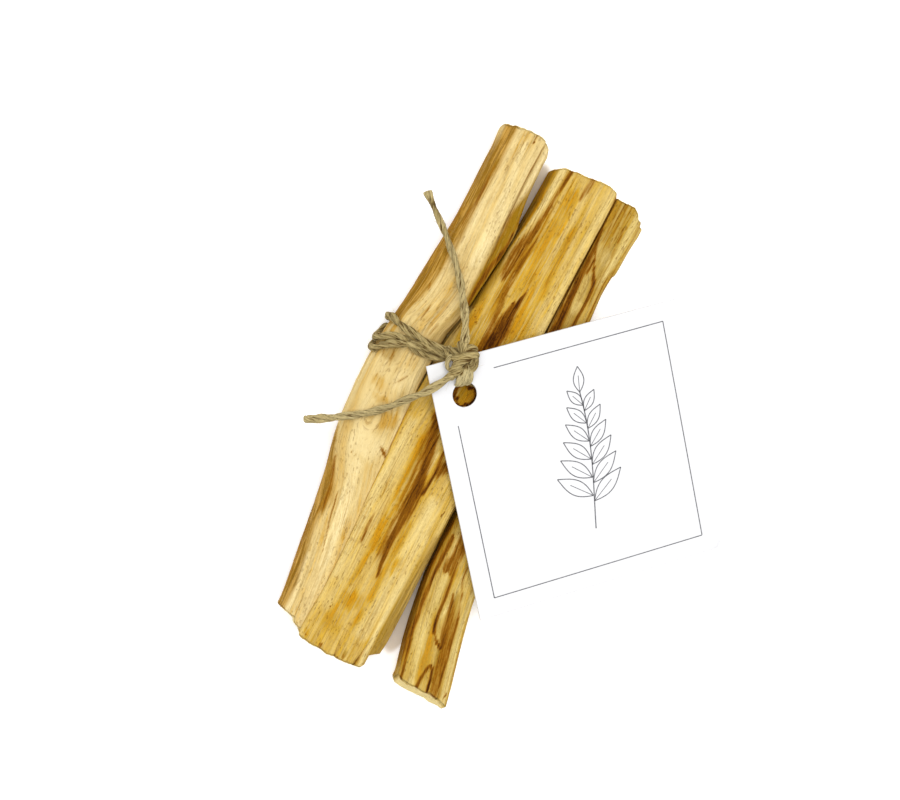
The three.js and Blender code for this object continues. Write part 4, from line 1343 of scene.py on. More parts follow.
def middle_stick() -> Stick:
    """The wide golden stick in the middle, with long dark streaks."""
    return Stick(
        node="stick_middle",
        slot="wood_middle",
        seed=4.1,
        rails=MIDDLE_RAILS,
        top_end=[
            (-8.2, 43.5), (-7.0, 44.3), (-6.1, 44.9), (-2.2, 45.2), (-0.3, 45.5), (2.6, 45.8), (4.4, 45.3),
            (5.0, 44.6),
        ],
        bottom_end=[
            (-10.3, -55.1), (-10.1, -56.1), (-9.0, -56.6), (-6.6, -56.8), (-2.8, -57.0), (1.1, -56.9),
            (3.0, -56.8), (3.6, -56.5), (6.0, -56.2),
        ],
        finish=WoodFinish(
            "golden_wood", pale=(0.68, 0.52, 0.205), cream=(0.615, 0.43, 0.125), gold=(0.51, 0.30, 0.032),
            amber=(0.48, 0.22, 0.006), ripeness=0.44, pore_share=0.45, contrast=1.15,
        ),
        torn=0.6,
        grain_rail=4,
        drift=[(-60, -1.6), (-30, -0.6), (0, 0.0), (20, 0.2), (50, 0.0)],
        # The ring is painted shade round the card's hole.
        marks=marks_of(MIDDLE_STREAKS, MIDDLE_PATCHES) + [Ring(Tone.HEART, 1.0, -19.42, 3.0, 2.1, 0.42)],
        cracks=[
            Crack((1.7, -57.4), (2.9, -50.4), 0.6, 1.6),
            Crack((-5.3, 45.6), (-7.0, 30.0), 0.3, 0.2),
            Crack((-2.2, -57.3), (-2.6, -52.5), 0.4, 0.8),
        ],
    )


RIGHT_RAILS = [
    Rail(0.1, 0.12, [(-56, 11), (-50, 9.5), (-46, 8.7), (-35, 7.1), (-26, 6.6), (-10, 6.5), (3, 6.1),
        (20, 5.4), (44, 5.4)]),
    Rail(0.2, 0.25, [(-56.5, 10.7, 7.7), (-54, 9.9, 7.8), (-50, 8.9, 7.9), (-46, 8.3, 7.9), (-40, 7.3, 8),
        (-35, 6.7, 8), (-26, 6.5, 8), (-10, 6.4, 7.9), (3, 6, 7.7), (20, 5.3, 8.2), (44, 5.3, 8.4)]),
    Rail(0.2, 0.3, [(-56.5, 14.8, 8.4), (-46, 12.4, 8.6), (-36, 10.7, 8.5), (-20, 9.3, 8.2), (3, 8.7, 8),
        (20, 7.8, 8.5), (30, 7.6, 8.7), (44, 7.9, 8.6)]),
    Rail(0.15, 0.2, [(-56.5, 18.8, 8), (-46, 16.2, 8.1), (-36, 14.3, 8), (-20, 12.2, 7.8), (3, 11.5, 7.7),
        (20, 10, 8.2), (30, 9.5, 8.3), (44, 10.1, 8.2)]),
    Rail(0.1, 0.15, [(-57, 21.2, 7), (-52, 20.2, 7), (-46, 18.4, 7.1), (-39, 16.9, 7), (-20, 14.7, 6.9),
        (3, 13, 6.9), (22, 11.6, 7.3), (28, 10.9, 7.4), (34, 11.3, 7.4), (44, 11.4, 7.3)]),
    Rail(0.1, 0.15, [(-57, 22.3, 5.2), (-52.5, 21.2, 5.2), (-47.6, 20, 5.3), (-42.7, 18.9, 5.3),
        (-38.8, 18, 5.3), (-36, 17.5, 5.3), (-20, 15.7, 5.3), (3, 13.9, 5.4), (22, 12.3, 5.7),
        (25, 12, 5.7), (28, 11.8, 5.7), (31.8, 11.9, 5.7), (33.7, 12.3, 5.7), (39, 12.5, 5.7),
        (42, 12.8, 5.9)]),
    Rail(0, 0, [(-57, 21.8), (-47.6, 19.6), (-36, 17.1), (-20, 15.3), (3, 13.5), (22, 11.9), (28, 11.1),
        (41, 11.9)]),
]
RIGHT_STREAKS = {
    Tone.HEART: [
        # Painted shadow of the taller middle stick along the left edge.
        (0.85, [(42, -10.4, 0.2), (38, -10, 0.4), (32, -9.9, 0.55), (26, -9.7, 0.7), (20, -9.5, 0.9),
            (12, -9.2, 1)]),
        (0.8, [(40, -10.1, 0.2), (37.5, -9.5, 0.24), (36.4, -8.8, 0.26), (34.5, -7.8, 0.28),
            (32.5, -7.1, 0.3), (29, -6.8, 0.34), (25, -6.9, 0.4), (18, -6.9, 0.5)], 0.8),
        (0.8, [(36.8, -9.3, 0.16), (35, -9.2, 0.26), (33.6, -9.3, 0.24)], 0.5),
        (0.5, [(44.4, -6.9, 0.28), (42.2, -6.7, 0.3)], 0.7),
        (0.5, [(41.6, -8, 0.25), (40.9, -7.8, 0.25)], 0.5),
        (0.5, [(40.6, -6.6, 0.2), (38.9, -6.5, 0.24)], 0.5),
        (0.5, [(50, -9.6, 0.12), (45, -9.5, 0.14), (41, -9.3, 0.1)]),
        (0.45, [(50, -8.9, 0.1), (45, -8.9, 0.12), (40, -8.7, 0.1)]),
        (0.45, [(49.5, -8.2, 0.1), (43, -8.3, 0.14)]),
        (0.4, [(49, -7.4, 0.1), (42, -7.5, 0.14)]),
        (0.35, [(48, -4.1, 0.25), (44, -4.1, 0.2), (40, -4.3, 0.15)]),
        (0.4, [(40, -6.3, 0.12), (34, -6.2, 0.14), (29, -6, 0.12)]),
        (0.45, [(36, -5.2, 0.14), (28, -5, 0.2), (22, -4.7, 0.2)]),
        (0.35, [(38, -4.4, 0.15), (32, -4.4, 0.2), (26, -4.1, 0.25)]),
        # Painted shade along the left edge, by the gap to the middle stick.
        (0.62, [(50, -10.65, 0.15), (36, -10.65, 0.15), (18, -10.6, 0.15)]),
        (0.5, [(-20, -9.8, 0.6), (-28, -9.6, 0.6), (-35, -8.8, 0.45), (-42, -7.9, 0.35), (-49, -6.3, 0.3)]),
        (0.88, [(-22, -8.4, 0.4), (-27, -8.3, 0.4), (-30.8, -8.25, 0.4), (-35.6, -7.8, 0.4),
            (-38.2, -7.3, 0.42), (-41, -7, 0.42), (-44.7, -6.1, 0.38), (-47.8, -5.2, 0.36),
            (-50.4, -4.6, 0.36)], 0.5),
        (0.25, [(-30, -8.6, 0.6), (-36, -7.9, 0.5), (-42, -7, 0.45), (-48, -5.5, 0.4)]),
        (0.5, [(-38, -8.2, 0.14), (-42, -7.3, 0.16), (-45, -6.7, 0.16), (-48, -6, 0.14)]),
        (0.58, [(-20, -6.4, 1.2), (-24, -6, 1.1), (-27, -6.3, 1.3), (-28.3, -6.5, 1.2)], 0.7),
        (0.85, [(-26, -5.3, 0.22), (-30, -4.8, 0.26), (-33.3, -4.25, 0.32), (-36.4, -3.95, 0.32),
            (-39, -3.35, 0.36), (-40.3, -2.3, 0.4), (-42.1, -0.5, 0.34)], 0.4),
        (0.58, [(-32, -3.2, 0.3), (-34, -2.4, 0.6), (-36, -1.7, 0.9), (-38, -1.3, 0.95), (-40, -0.8, 0.8),
            (-42, -0.1, 0.5)], 0.8),
        (0.56, [(-26, -3.2, 0.24), (-28.5, -2.9, 0.26), (-31.7, -1.4, 0.28), (-34, -0.7, 0.3),
            (-36.2, -0.2, 0.5), (-40.2, 0.3, 0.8), (-43, 0.7, 0.9), (-46, 1.3, 0.85), (-49, 2, 0.75),
            (-51, 2.4, 0.6)], 0.6),
        (0.82, [(-35.5, -0.2, 0.2), (-40.2, 0.7, 0.24), (-43.6, 1.5, 0.24), (-47.7, 2.3, 0.24),
            (-51, 2.9, 0.24)]),
        (0.9, [(-45.3, -0.7, 0.3), (-46.3, -0.1, 0.28), (-48, 0.5, 0.28), (-50, 0.9, 0.3),
            (-51.2, 1.3, 0.34)], 0.3),
        (0.72, [(-45.6, -0.9, 0.28), (-48.5, -1.2, 0.32), (-51, -1.2, 0.34)], 0.3),
        (0.4, [(-38, 2.9, 0.12), (-42, 3.6, 0.16), (-47, 4.7, 0.16)]),
    ],
    Tone.PALE: [
        (0.6, [(49, -7.8, 0.14), (44, -7.9, 0.16), (40, -7.7, 0.14)]),
        (0.5, [(50, -9.2, 0.12), (44, -9.2, 0.14)]),
        (1.0, [(48, -5.4, 0.6), (44, -5.4, 0.7), (39, -5.5, 0.65), (34, -6, 0.45)]),
        (0.6, [(34, -8.5, 0.25), (30, -8, 0.35), (26, -8.2, 0.3)]),
        (0.7, [(47, -5.5, 0.3), (40, -5.6, 0.3), (33, -6.4, 0.25)]),
        (0.8, [(-21, -7.5, 0.2), (-25.5, -7, 0.24)], 0.8),
        (1.0, [(-30, 0.2, 0.4), (-37.5, 1.4, 0.5), (-43.3, 2.9, 0.65), (-48.3, 4.1, 0.65),
            (-51.5, 4.9, 0.6)]),
        (0.72, [(-29, -6.2, 0.6), (-35, -5.8, 0.8), (-42, -4.8, 1), (-50, -2.9, 1)]),
        (0.8, [(-28, -3.4, 0.34), (-33, -2.7, 0.3), (-36, -3.2, 0.24)]),
        (1.0, [(-51.6, -1, 9), (-54, 0, 9)], 0.35),
    ],
    Tone.AMBER: [
        (0.45, [(50, -8.5, 1.6), (44, -8.5, 1.5), (40, -8.3, 1.2)]),
        (0.6, [(-28, -5.4, 1.3), (-34, -5.9, 0.9), (-42, -3.4, 1.3), (-49, -2.4, 1.4)]),
    ],
    Tone.OLIVE: [
        (0.38, [(50, -8.4, 1.6), (44, -8.2, 1.5), (38, -7.8, 1.4), (30, -7.4, 1.4)]),
        (0.6, [(26, -8, 1.2), (18, -7.4, 2.2), (8, -6.6, 2.6), (-8, -5.5, 2.8)]),
        # Olive-brown wood and painted shade on the left bevel in the lower half.
        (0.85, [(-18, -9.6, 0.9), (-26, -9.6, 0.8), (-34, -9, 0.8), (-42, -7.7, 0.75), (-50, -6.2, 0.6)]),
        (0.55, [(-32, -2.4, 0.5), (-36, -1.2, 0.9), (-41, -0.3, 0.9), (-47, 1, 0.7)]),
    ],
}
RIGHT_PATCHES = {
    Tone.PALE: [(0.8, -7.2, 38.3, 0.8, 1.6, 25)],
    Tone.HEART: [(0.75, -2.7, -50.9, 1.6, 0.16), (0.85, 2, -51.2, 1.4, 0.3), (0.5, 4.8, -49.9, 0.24, 0.5),
        (0.5, 5.5, -51.9, 0.24, 0.3)],
}


def right_stick() -> Stick:
    """The darker stick on the right, with looping veins, which leans away at its near end."""
    return Stick(
        node="stick_right",
        slot="wood_right",
        seed=7.7,
        rails=RIGHT_RAILS,
        top_end=[(5.4, 44.6), (9.1, 44.6), (10.6, 43.9), (11.1, 43.1), (11.8, 42.9), (12.1, 42.1)],
        bottom_end=[
            (10.6, -56.2), (11.7, -56.9), (13.7, -57.1), (17.6, -57.1), (22.1, -57.4), (22.5, -57.0),
        ],
        finish=WoodFinish(
            "veined_wood", pale=(0.655, 0.495, 0.175), cream=(0.555, 0.388, 0.105),
            gold=(0.43, 0.245, 0.025), amber=(0.41, 0.185, 0.008), ripeness=0.42, contrast=1.35,
        ),
        torn=0.6,
        ragged=0.6,
        grain_rail=3,
        drift=[(-60, 0.0), (50, 0.0)],
        marks=marks_of(RIGHT_STREAKS, RIGHT_PATCHES),
        cracks=[
            Crack((20.0, -57.9), (18.9, -51.5), 0.5, 0.9),
            Crack((13.0, -57.6), (12.2, -51.0), 0.45, 0.7),
            Crack((7.4, 45.0), (7.0, 36.0), 0.45, 0.7),
        ],
        bevel_drop=4.0,
        bevel_run=1.5,
    )


# Twine


@dataclass
class Strand:
    """A length of two-ply twine along a route, from the point under the tie.

    The section is the outline of two touching plies, which turns once in every pitch. Fine ridges follow
    the plies, and the ends are rounded off or left as a flared cut.
    """

    route: Array
    diameter: float = TWINE_DIAMETER
    girth: Curve = ((0.0, 1.0), (1.0, 1.0))
    opening: float = 0.0
    flatness: float = 1.0
    pitch: float = 10.5
    phase: float = 0.0
    seed: int = 1
    flare: float = 0.0
    tint: Curve = ((0.0, 0.0), (1.0, 0.0))
    around: int = 30
    step: float = 0.24
    ply_offset: float = 0.3
    ply_radius: float = 0.7

    def _radius(self, s: Array, turned: Array) -> Array:
        """Distance of the surface from the route.

        At the angle a from the line through both plies, it is o |cos a| + sqrt(p^2 - o^2 sin^2 a), where o
        is a ply's distance from the middle and p its radius. The plies move apart where the twine has
        opened, and two layers of ridges and a slow swelling make it uneven.

        Args:
            s: Distances along the route, as a column.
            turned: Angles from the line through both plies.

        Returns:
            The distances.
        """
        share = s / s[-1]
        half = self.diameter / 2 * smooth_curve(np.array(self.girth), share)
        off = (self.ply_offset + self.opening * ease(1 - s / 5.0)) * half
        ply = self.ply_radius * half
        radius = off * np.abs(np.cos(turned)) + np.sqrt(ply**2 - (off * np.sin(turned)) ** 2)
        u, v = 2.2 * np.cos(turned), 2.2 * np.sin(turned)
        ridge = lattice_noise(u * 1.4 + 50, s / 2.4 + v * 1.4 + 50, self.seed)
        fine = lattice_noise(u * 3.1 + 80, s / 1.5 + v * 3.1 + 80, self.seed + 9)
        lump = lattice_noise(s / 2.3 + 20, turned * 0.32 + 7.5, self.seed + 5)
        return radius * (1 + 0.1 * ridge + 0.08 * fine + 0.1 * lump)

    def surface(self) -> Surface:
        """The strand as one closed surface."""
        line = centripetal_route(self.route, self.step)
        _, first, second = route_frames(line)
        count = len(line)
        s = np.arange(count)[:, None] * self.step
        angle = (np.arange(self.around) / self.around * 2 * np.pi)[None, :]
        turned = angle - 2 * np.pi * s / self.pitch - self.phase
        radius = self._radius(s, turned)
        tip = np.minimum(s, s[-1] - s)
        if self.flare:
            open_ = ease(1 - (s[-1] - s) / 2.2)
            radius = radius * (1 + self.flare * open_ * (0.6 + 0.8 * np.abs(np.cos(turned))))
            tip = np.where(s < 0.5 * s[-1], tip, tip * 2.0)
        radius = radius * np.sqrt(np.clip(tip / 0.3, 0.12, 1.0))
        rings = (
            line[:, None, :]
            + first[:, None, :] * (radius * np.cos(angle))[..., None]
            + second[:, None, :] * (self.flatness * radius * np.sin(angle))[..., None]
        )
        groove = np.abs(np.sin(turned)) ** 8
        along = np.broadcast_to(s, turned.shape)
        around = 2.2 * np.arccos(np.cos(turned)) / np.pi * 2
        strand = np.stack([around + 30 * self.seed, along + 13.7 * self.seed, np.sign(np.sin(turned))], -1)
        tint = np.broadcast_to(smooth_curve(np.array(self.tint), s / s[-1]), turned.shape)
        return Surface.of_rings(rings, {"groove": groove, "strand": strand, "tint": tint})


# Turns of the twine over the left stick and down its side, then the common way round, from the point
# under the tie.
TURN_WAYS = (4.6, 2.8, 0.9)
TURNS_OUT = [
    [(-8.9, 4.75, 14.9), (-10.6, 4.2, 13.7), (-13.4, 3.6, 12.8), (-15.4, 3.65, 12.2), (-17.4, 3.85, 12.1),
        (-19.3, 4.1, 11.6), (-20.9, 4.45, 10.9), (-21.9, 4.85, 9.9), (-22.5, 4.95, 8.6), (-22.7, 4.8, 6.6),
        (-22.4, 4.7, 4.6), (-22.1, 4.6, 2.8)],
    [(-8.9, 4.2, 14), (-9.5, 3.1, 13.2), (-10.9, 2.3, 12.6), (-13.2, 1.5, 12.3), (-14.9, 1.3, 11.95),
        (-16.2, 1.65, 11.75), (-17.6, 2.2, 11.8), (-19.2, 2.2, 11.5), (-20.9, 1.65, 11.1),
        (-22.2, 0.75, 10.4), (-23, 0.1, 9.1), (-23.1, 0, 7.4), (-22.8, 0.5, 4.8), (-22.3, 1.2, 2.9)],
    [(-8.9, 3.9, 14.6), (-9.7, 3.45, 13.6), (-11.6, 3.1, 12.9), (-14, 2.6, 12.8), (-15.7, 2.3, 12.75),
        (-17.2, 1.8, 12.75), (-18.8, 1.05, 12), (-20.4, 0.2, 11.3), (-21.6, -0.85, 10.5),
        (-22.4, -1.75, 9.2), (-22.8, -2, 7.4), (-22.7, -1.6, 4.8), (-22.2, -0.5, 2.9)],
]
TURN_ROUND = [(-21.7, 1.3), (-20.2, 1), (-12, 1), (0, 1), (10, 1), (13.1, 1.05), (14.3, 1.6), (14.9, 2.8),
    (15.1, 4.6), (14.8, 6.8), (14, 8.1), (12.5, 8.9), (8, 10.1), (3, 11.2), (-3, 12), (-7.2, 12.4)]
TURN_END = (-9.2, 4.5, 13.7)

# Strands of the knot as (across, down, out) from its middle: across to the right of the pair that goes down
# to the card's hole, down along that pair, and out from the card's face.
KNOT_MIDDLE = np.array([-7.3, 4.0, 16.9])
KNOT_STRANDS = [
    (1.3, [(-2.6, -2.2, -2.4), (-1.9, -1.6, -1.2), (-0.8, -0.8, -0.1), (0.2, 0.2, 0.3)]),
    (1.4, [(-2.9, -1.5, -2.6), (-2.4, -0.9, -1.4), (-1.4, -0.3, -0.3), (-0.4, 0.2, 0)]),
    (1.7, [(0.1, 0.6, 0.2), (0.15, -1, 0.5), (0.1, -2.2, 0.5), (0.1, -3.3, 0.3)]),
    (2.4, [(-1.5, 0.5, -0.2), (-0.6, 0.2, 0), (0.5, -0.1, 0), (1.3, -0.3, -0.2)]),
    (1.6, [(-2.3, -0.1, -0.3), (-1.7, -0.5, 0.6), (-0.5, -1.1, 1.1), (0.8, -1.6, 1.1), (1.6, -1.75, 0.7),
        (2.05, -1.2, 0.1)]),
    (1.9, [(-2.7, 2, 0.2), (-2.3, 1.2, 0.8), (-1.6, 0.3, 1.3), (-0.5, -0.35, 1.55), (0.8, -0.75, 1.5),
        (1.7, -0.9, 1.1), (2.1, -0.5, 0.5)]),
    (1.4, [(1.7, -1.4, 0.2), (2.1, -0.5, 0.4), (2.05, 0.5, 0.4), (1.75, 1.35, 0.4), (1.1, 1.9, 0.3),
        (0.4, 1.9, 0.2)]),
    (1.2, [(1.3, -0.6, 0.6), (1.4, 0.3, 0.7), (1.15, 1.1, 0.65), (0.5, 1.5, 0.5)]),
    (0.9, [(-2.2, -1.1, -0.3), (-2.9, -0.6, -0.1), (-3.4, 0.3, 0), (-3.3, 1.3, 0.1), (-2.5, 2.1, 0.3)]),
    (1.5, [(-0.9, 0.9, 0.6), (-1.6, 1.9, 0.9), (-2.6, 2.5, 1.05), (-3.6, 2.85, 1.1)]),
    (0.9, [(-0.9, -3.6, 0.2), (-0.85, -2.4, 0.6), (-0.7, -1.3, 0.7)]),
    (1.4, [(-0.4, -1.6, 0.3), (0.6, -2, 0.35), (1.4, -2.05, 0.3), (1.9, -1.6, 0)]),
]

# Number of the pale loop on the left, and how many of the first strands the others cover.
LEFT_LOOP = 8
COVERED_STRANDS = 4

# The pair that goes down through the card's hole and its filling: the share of each that gets painted
# shadow from the knot's band, and its points as above.
HOLE_STRANDS = [
    (0.24, [(-0.7, -0.3, 0.4), (-0.85, 1.2, 0.3), (-1.1, 2.6, 0.45), (-1.2, 3.7, 0.05), (-1.1, 4.5, -0.75),
        (-1, 4.85, -1.6), (-0.9, 4.6, -2.7), (-0.8, 3.7, -3.5), (-0.7, 2, -3.9)]),
    (0.1, [(0.3, -0.3, 0.4), (0.4, 1.2, 0.45), (0.5, 2.6, 0.5), (0.62, 3.7, 0.05), (0.6, 4.5, -0.75),
        (0.55, 4.85, -1.6), (0.55, 4.6, -2.7), (0.6, 3.7, -3.5), (0.7, 2, -3.9)]),
    (0.13, [(-0.2, 0.6, 0.5), (-0.3, 1.8, 0.6), (-0.35, 3, 0.5), (-0.3, 4, -0.1), (-0.25, 4.7, -0.9),
        (-0.2, 4.95, -1.7), (-0.2, 4.6, -2.7)]),
]
TAIL_UP = [(-9.2, 7.6, 17.4), (-10.1, 9.7, 16.9), (-11, 11.3, 16.3), (-12, 12.95, 15.6),
    (-13.3, 14.9, 14.8), (-14.6, 16.7, 14.1), (-16, 18.4, 13.55), (-17.5, 19.9, 13.15), (-19.1, 21.4, 13),
    (-20.7, 22.9, 12.8), (-22.3, 24.3, 12.5), (-23.8, 25.5, 12.1), (-25, 26.5, 11.6), (-26.2, 27.6, 11),
    (-27.4, 28.7, 10.3)]
TAIL_SIDE = [(-8.7, -0.6, 18), (-9.65, -2.5, 17.9), (-10.3, -3.6, 17.65), (-11, -4.75, 17.2),
    (-11.9, -5.9, 16.5), (-12.8, -7.1, 15.6), (-13.9, -8.6, 14.5), (-15.1, -10.2, 13.3),
    (-16.4, -11.6, 12.4), (-17.8, -12.9, 12), (-19.3, -14.1, 11.7), (-20.8, -15.2, 11.3),
    (-22.3, -16.3, 10.6), (-23.7, -17.35, 9.8), (-25, -18.2, 9), (-26.3, -19.05, 8.2), (-27.6, -19.8, 7.2)]

UP_GIRTH = ((0.0, 1.0), (0.12, 1.08), (0.3, 1.06), (0.6, 0.96), (1.0, 0.94))
SIDE_GIRTH = ((0.0, 1.3), (0.12, 1.15), (0.35, 1.03), (0.6, 1.05), (0.8, 1.2), (1.0, 1.25))
UP_TINT = ((0.0, 0.15), (0.8, 0.15), (0.88, -0.25), (0.92, -0.25), (0.96, 0.2), (1.0, 0.2))
SIDE_TINT = ((0.0, 0.1), (0.2, 0.2), (1.0, 0.28))


@dataclass
class Card:
    """The square card: its plane from three corners, its punched hole and its thickness."""

    side: float = 50.8
    thickness: float = 0.42
    corner_radius: float = 1.6
    hole_radius: float = 2.4
    hole_from_left: float = 6.1
    hole_from_top: float = 7.1
    bow: float = 0.22
    top_left: Place = (-12.94, -0.47, 16.5)
    top_right: Place = (24.27, 33.22, 8.66)
    bottom_left: Place = (19.75, -38.48, 8.29)

    def __post_init__(self) -> None:
        """Works out the card's own directions: right, down and out of its face."""
        start = np.array(self.top_left)
        right = np.array(self.top_right) - start
        self.right = right / np.linalg.norm(right)
        down = np.array(self.bottom_left) - start
        down = down - self.right * (down @ self.right)
        self.down = down / np.linalg.norm(down)
        self.out = np.cross(self.down, self.right)

    def place(self, from_left: Array, from_top: Array, out: Array) -> Array:
        """Point of the card by its distances from the left and top edges and out of its middle plane.

        The card bows a little: out grows by bow times 4u(1 - u) - 1/2 along its diagonal.

        Args:
            from_left: Distance from the left edge.
            from_top: Distance from the top edge.
            out: Distance out of the face.

        Returns:
            Points, from the point under the tie.
        """
        u = (from_left + from_top) / (2 * self.side)
        lifted = out + self.bow * (4 * u * (1 - u) - 0.5)
        return (
            np.array(self.top_left)
            + np.multiply.outer(from_left, self.right)
            + np.multiply.outer(from_top, self.down)
            + np.multiply.outer(lifted, self.out)
        )

    def _outline(self) -> Array:
        """Corners of the card as (from left, from top), with the far lower corner rounded."""
        r, side = self.corner_radius, self.side
        steps = np.linspace(0.0, np.pi / 2, 9)
        arc = np.stack([side - r + r * np.cos(steps), side - r + r * np.sin(steps)], axis=1)
        loop = np.vstack([[0.0, 0.0], [side, 0.0], arc, [0.0, side], [0.0, 0.0]])
        length = np.linalg.norm(np.diff(loop, axis=0), axis=1)
        pieces = []
        for start, end, size in zip(loop[:-1], loop[1:], length):
            count = max(1, int(round(size / 0.8)))
            pieces.append(start + (end - start) * (np.arange(count) / count)[:, None])
        return np.vstack(pieces)

    def surface(self) -> Surface:
        """The card as one closed surface.

        A ring of points goes from the hole's rim over the face to the outline, round the edge and back
        over the reverse to the rim. On the face, the share f of the way from rim to outline is blended
        straight between the two.

        Returns:
            The surface.
        """
        outline = self._outline()
        hole = np.array([self.hole_from_left, self.hole_from_top])
        toward = outline - hole
        rim = hole + self.hole_radius * toward / np.linalg.norm(toward, axis=1, keepdims=True)
        half, soft = self.thickness / 2, 0.1
        share = np.concatenate([[0.0, 0.004], np.linspace(0.02, 0.985, 22), [0.9975]])
        rows = [(f, half - (soft if k == 0 else 0.0)) for k, f in enumerate(share)]
        rows += [(1.0, half - soft), (1.0, soft - half)]
        rows += [(f, -half + (soft if k == 0 else 0.0)) for k, f in reversed(list(enumerate(share)))]
        f = np.array([row[0] for row in rows])[:, None, None]
        out = np.array([row[1] for row in rows])[:, None]
        flat = rim[None] * (1 - f) + outline[None] * f
        lift = np.broadcast_to(out, flat.shape[:2])
        return Surface.of_rings(self.place(flat[..., 0], flat[..., 1], lift), {}, loop=True)

    def build(self) -> Piece:
        """Makes the card, which stands for its CAD node."""
        made = self.surface().to_piece("paper_card", CardFinish().material(), "tag", "tag")
        made.data.set_sharp_from_angle(angle=np.radians(40))
        return made


@dataclass
class Print:
    """Line drawing on the card: a leafy sprig inside a plain hairline border that is open at the hole.

    The stem's foot is given in shares of the card's side, and the leaves' spread is in degrees.
    """

    card: Card
    line: float = 0.2
    sunk: float = 0.02
    raised: float = 0.014
    border_inset: float = 3.6
    border_gap: float = 9.0
    stem_foot: tuple[float, float] = (0.53, 0.78)
    stem_height: float = 27.0
    stem_sway: float = 1.5
    leaf_pairs: int = 6
    leaf_length: float = 8.2
    leaf_half: float = 1.45
    leaf_spread: float = 52.0
    leaf_stagger: float = 1.1

    def _ribbon(self, path: Array, width: float) -> Surface:
        """Flat bar of ink along a path on the card's face.

        Args:
            path: Points (from left, from top).
            width: Width of the bar.

        Returns:
            The closed bar.
        """
        along = np.gradient(path, axis=0)
        along /= np.maximum(np.linalg.norm(along, axis=1, keepdims=True), 1e-9)
        side = np.stack([-along[:, 1], along[:, 0]], axis=1) * width / 2
        low, high = self.card.thickness / 2 - self.sunk, self.card.thickness / 2 + self.raised
        corners = [(side, low), (side, high), (-side, high), (-side, low)]
        columns = []
        for shift, height in corners:
            spot = path + shift
            columns.append(self.card.place(spot[:, 0], spot[:, 1], np.full(len(path), height)))
        return Surface.of_rings(np.stack(columns, axis=1), {})

    def _leaf(self, foot: Array, angle: float, length: float, width: float) -> list[Surface]:
        """A leaf: a midrib and two bowed edges, width times sin(pi t)(1.15 - 0.3t) beside it.

        Args:
            foot: Where it leaves the stem.
            angle: Its direction, in radians from the card's right.
            length: Its length.
            width: Half its width.

        Returns:
            The bars of ink.
        """
        t = np.linspace(0.0, 1.0, 15)
        forward = np.array([np.cos(angle), -np.sin(angle)])
        across = np.array([np.sin(angle), np.cos(angle)])
        middle = foot + np.multiply.outer(t * length, forward)
        bow = np.multiply.outer(width * np.sin(np.pi * t) * (1.15 - 0.3 * t), across)
        rib = middle[: int(len(t) * 0.72)]
        return [
            self._ribbon(middle + bow, self.line),
            self._ribbon(middle - bow, self.line),
            self._ribbon(rib, self.line * 0.7),
        ]

    def surface(self) -> Surface:
        """The whole print: the border, a stem that sways as a sine, pairs of leaves and a last leaf."""
        side, near = self.card.side, self.border_inset
        far, gap = side - near, near + self.border_gap
        border = np.array([(near, gap), (near, far), (far, far), (far, near), (gap, near)])
        t = np.linspace(0.0, 1.0, 24)[:, None]
        bars = [self._ribbon(a * (1 - t) + b * t, self.line) for a, b in zip(border, border[1:])]
        t = np.linspace(0.0, 1.0, 60)
        stem_x = side * self.stem_foot[0] + self.stem_sway * np.sin(2.6 * t - 0.5)
        stem_y = side * self.stem_foot[1] - self.stem_height * t
        stem = np.stack([stem_x, stem_y], axis=1)
        bars.append(self._ribbon(stem, self.line * 1.2))
        for k in range(self.leaf_pairs):
            at = 0.2 + 0.66 * k / (self.leaf_pairs - 1)
            foot = np.array([np.interp(at, t, stem_x), np.interp(at, t, stem_y)])
            size = (self.leaf_length - 0.75 * k, self.leaf_half - 0.1 * k)
            spread = np.radians(self.leaf_spread - 3 * k)
            bars += self._leaf(foot, np.pi / 2 - spread, *size)
            bars += self._leaf(foot + np.array([0.0, -self.leaf_stagger]), np.pi / 2 + spread, *size)
        bars += self._leaf(stem[-1], np.pi / 2 - 0.1, 5.0, 1.05)
        return Surface.joined(bars)

    def build(self) -> Piece:
        """Makes the print, which lies on the card."""
        return self.surface().to_piece("card_print", InkFinish().material(), "tag")


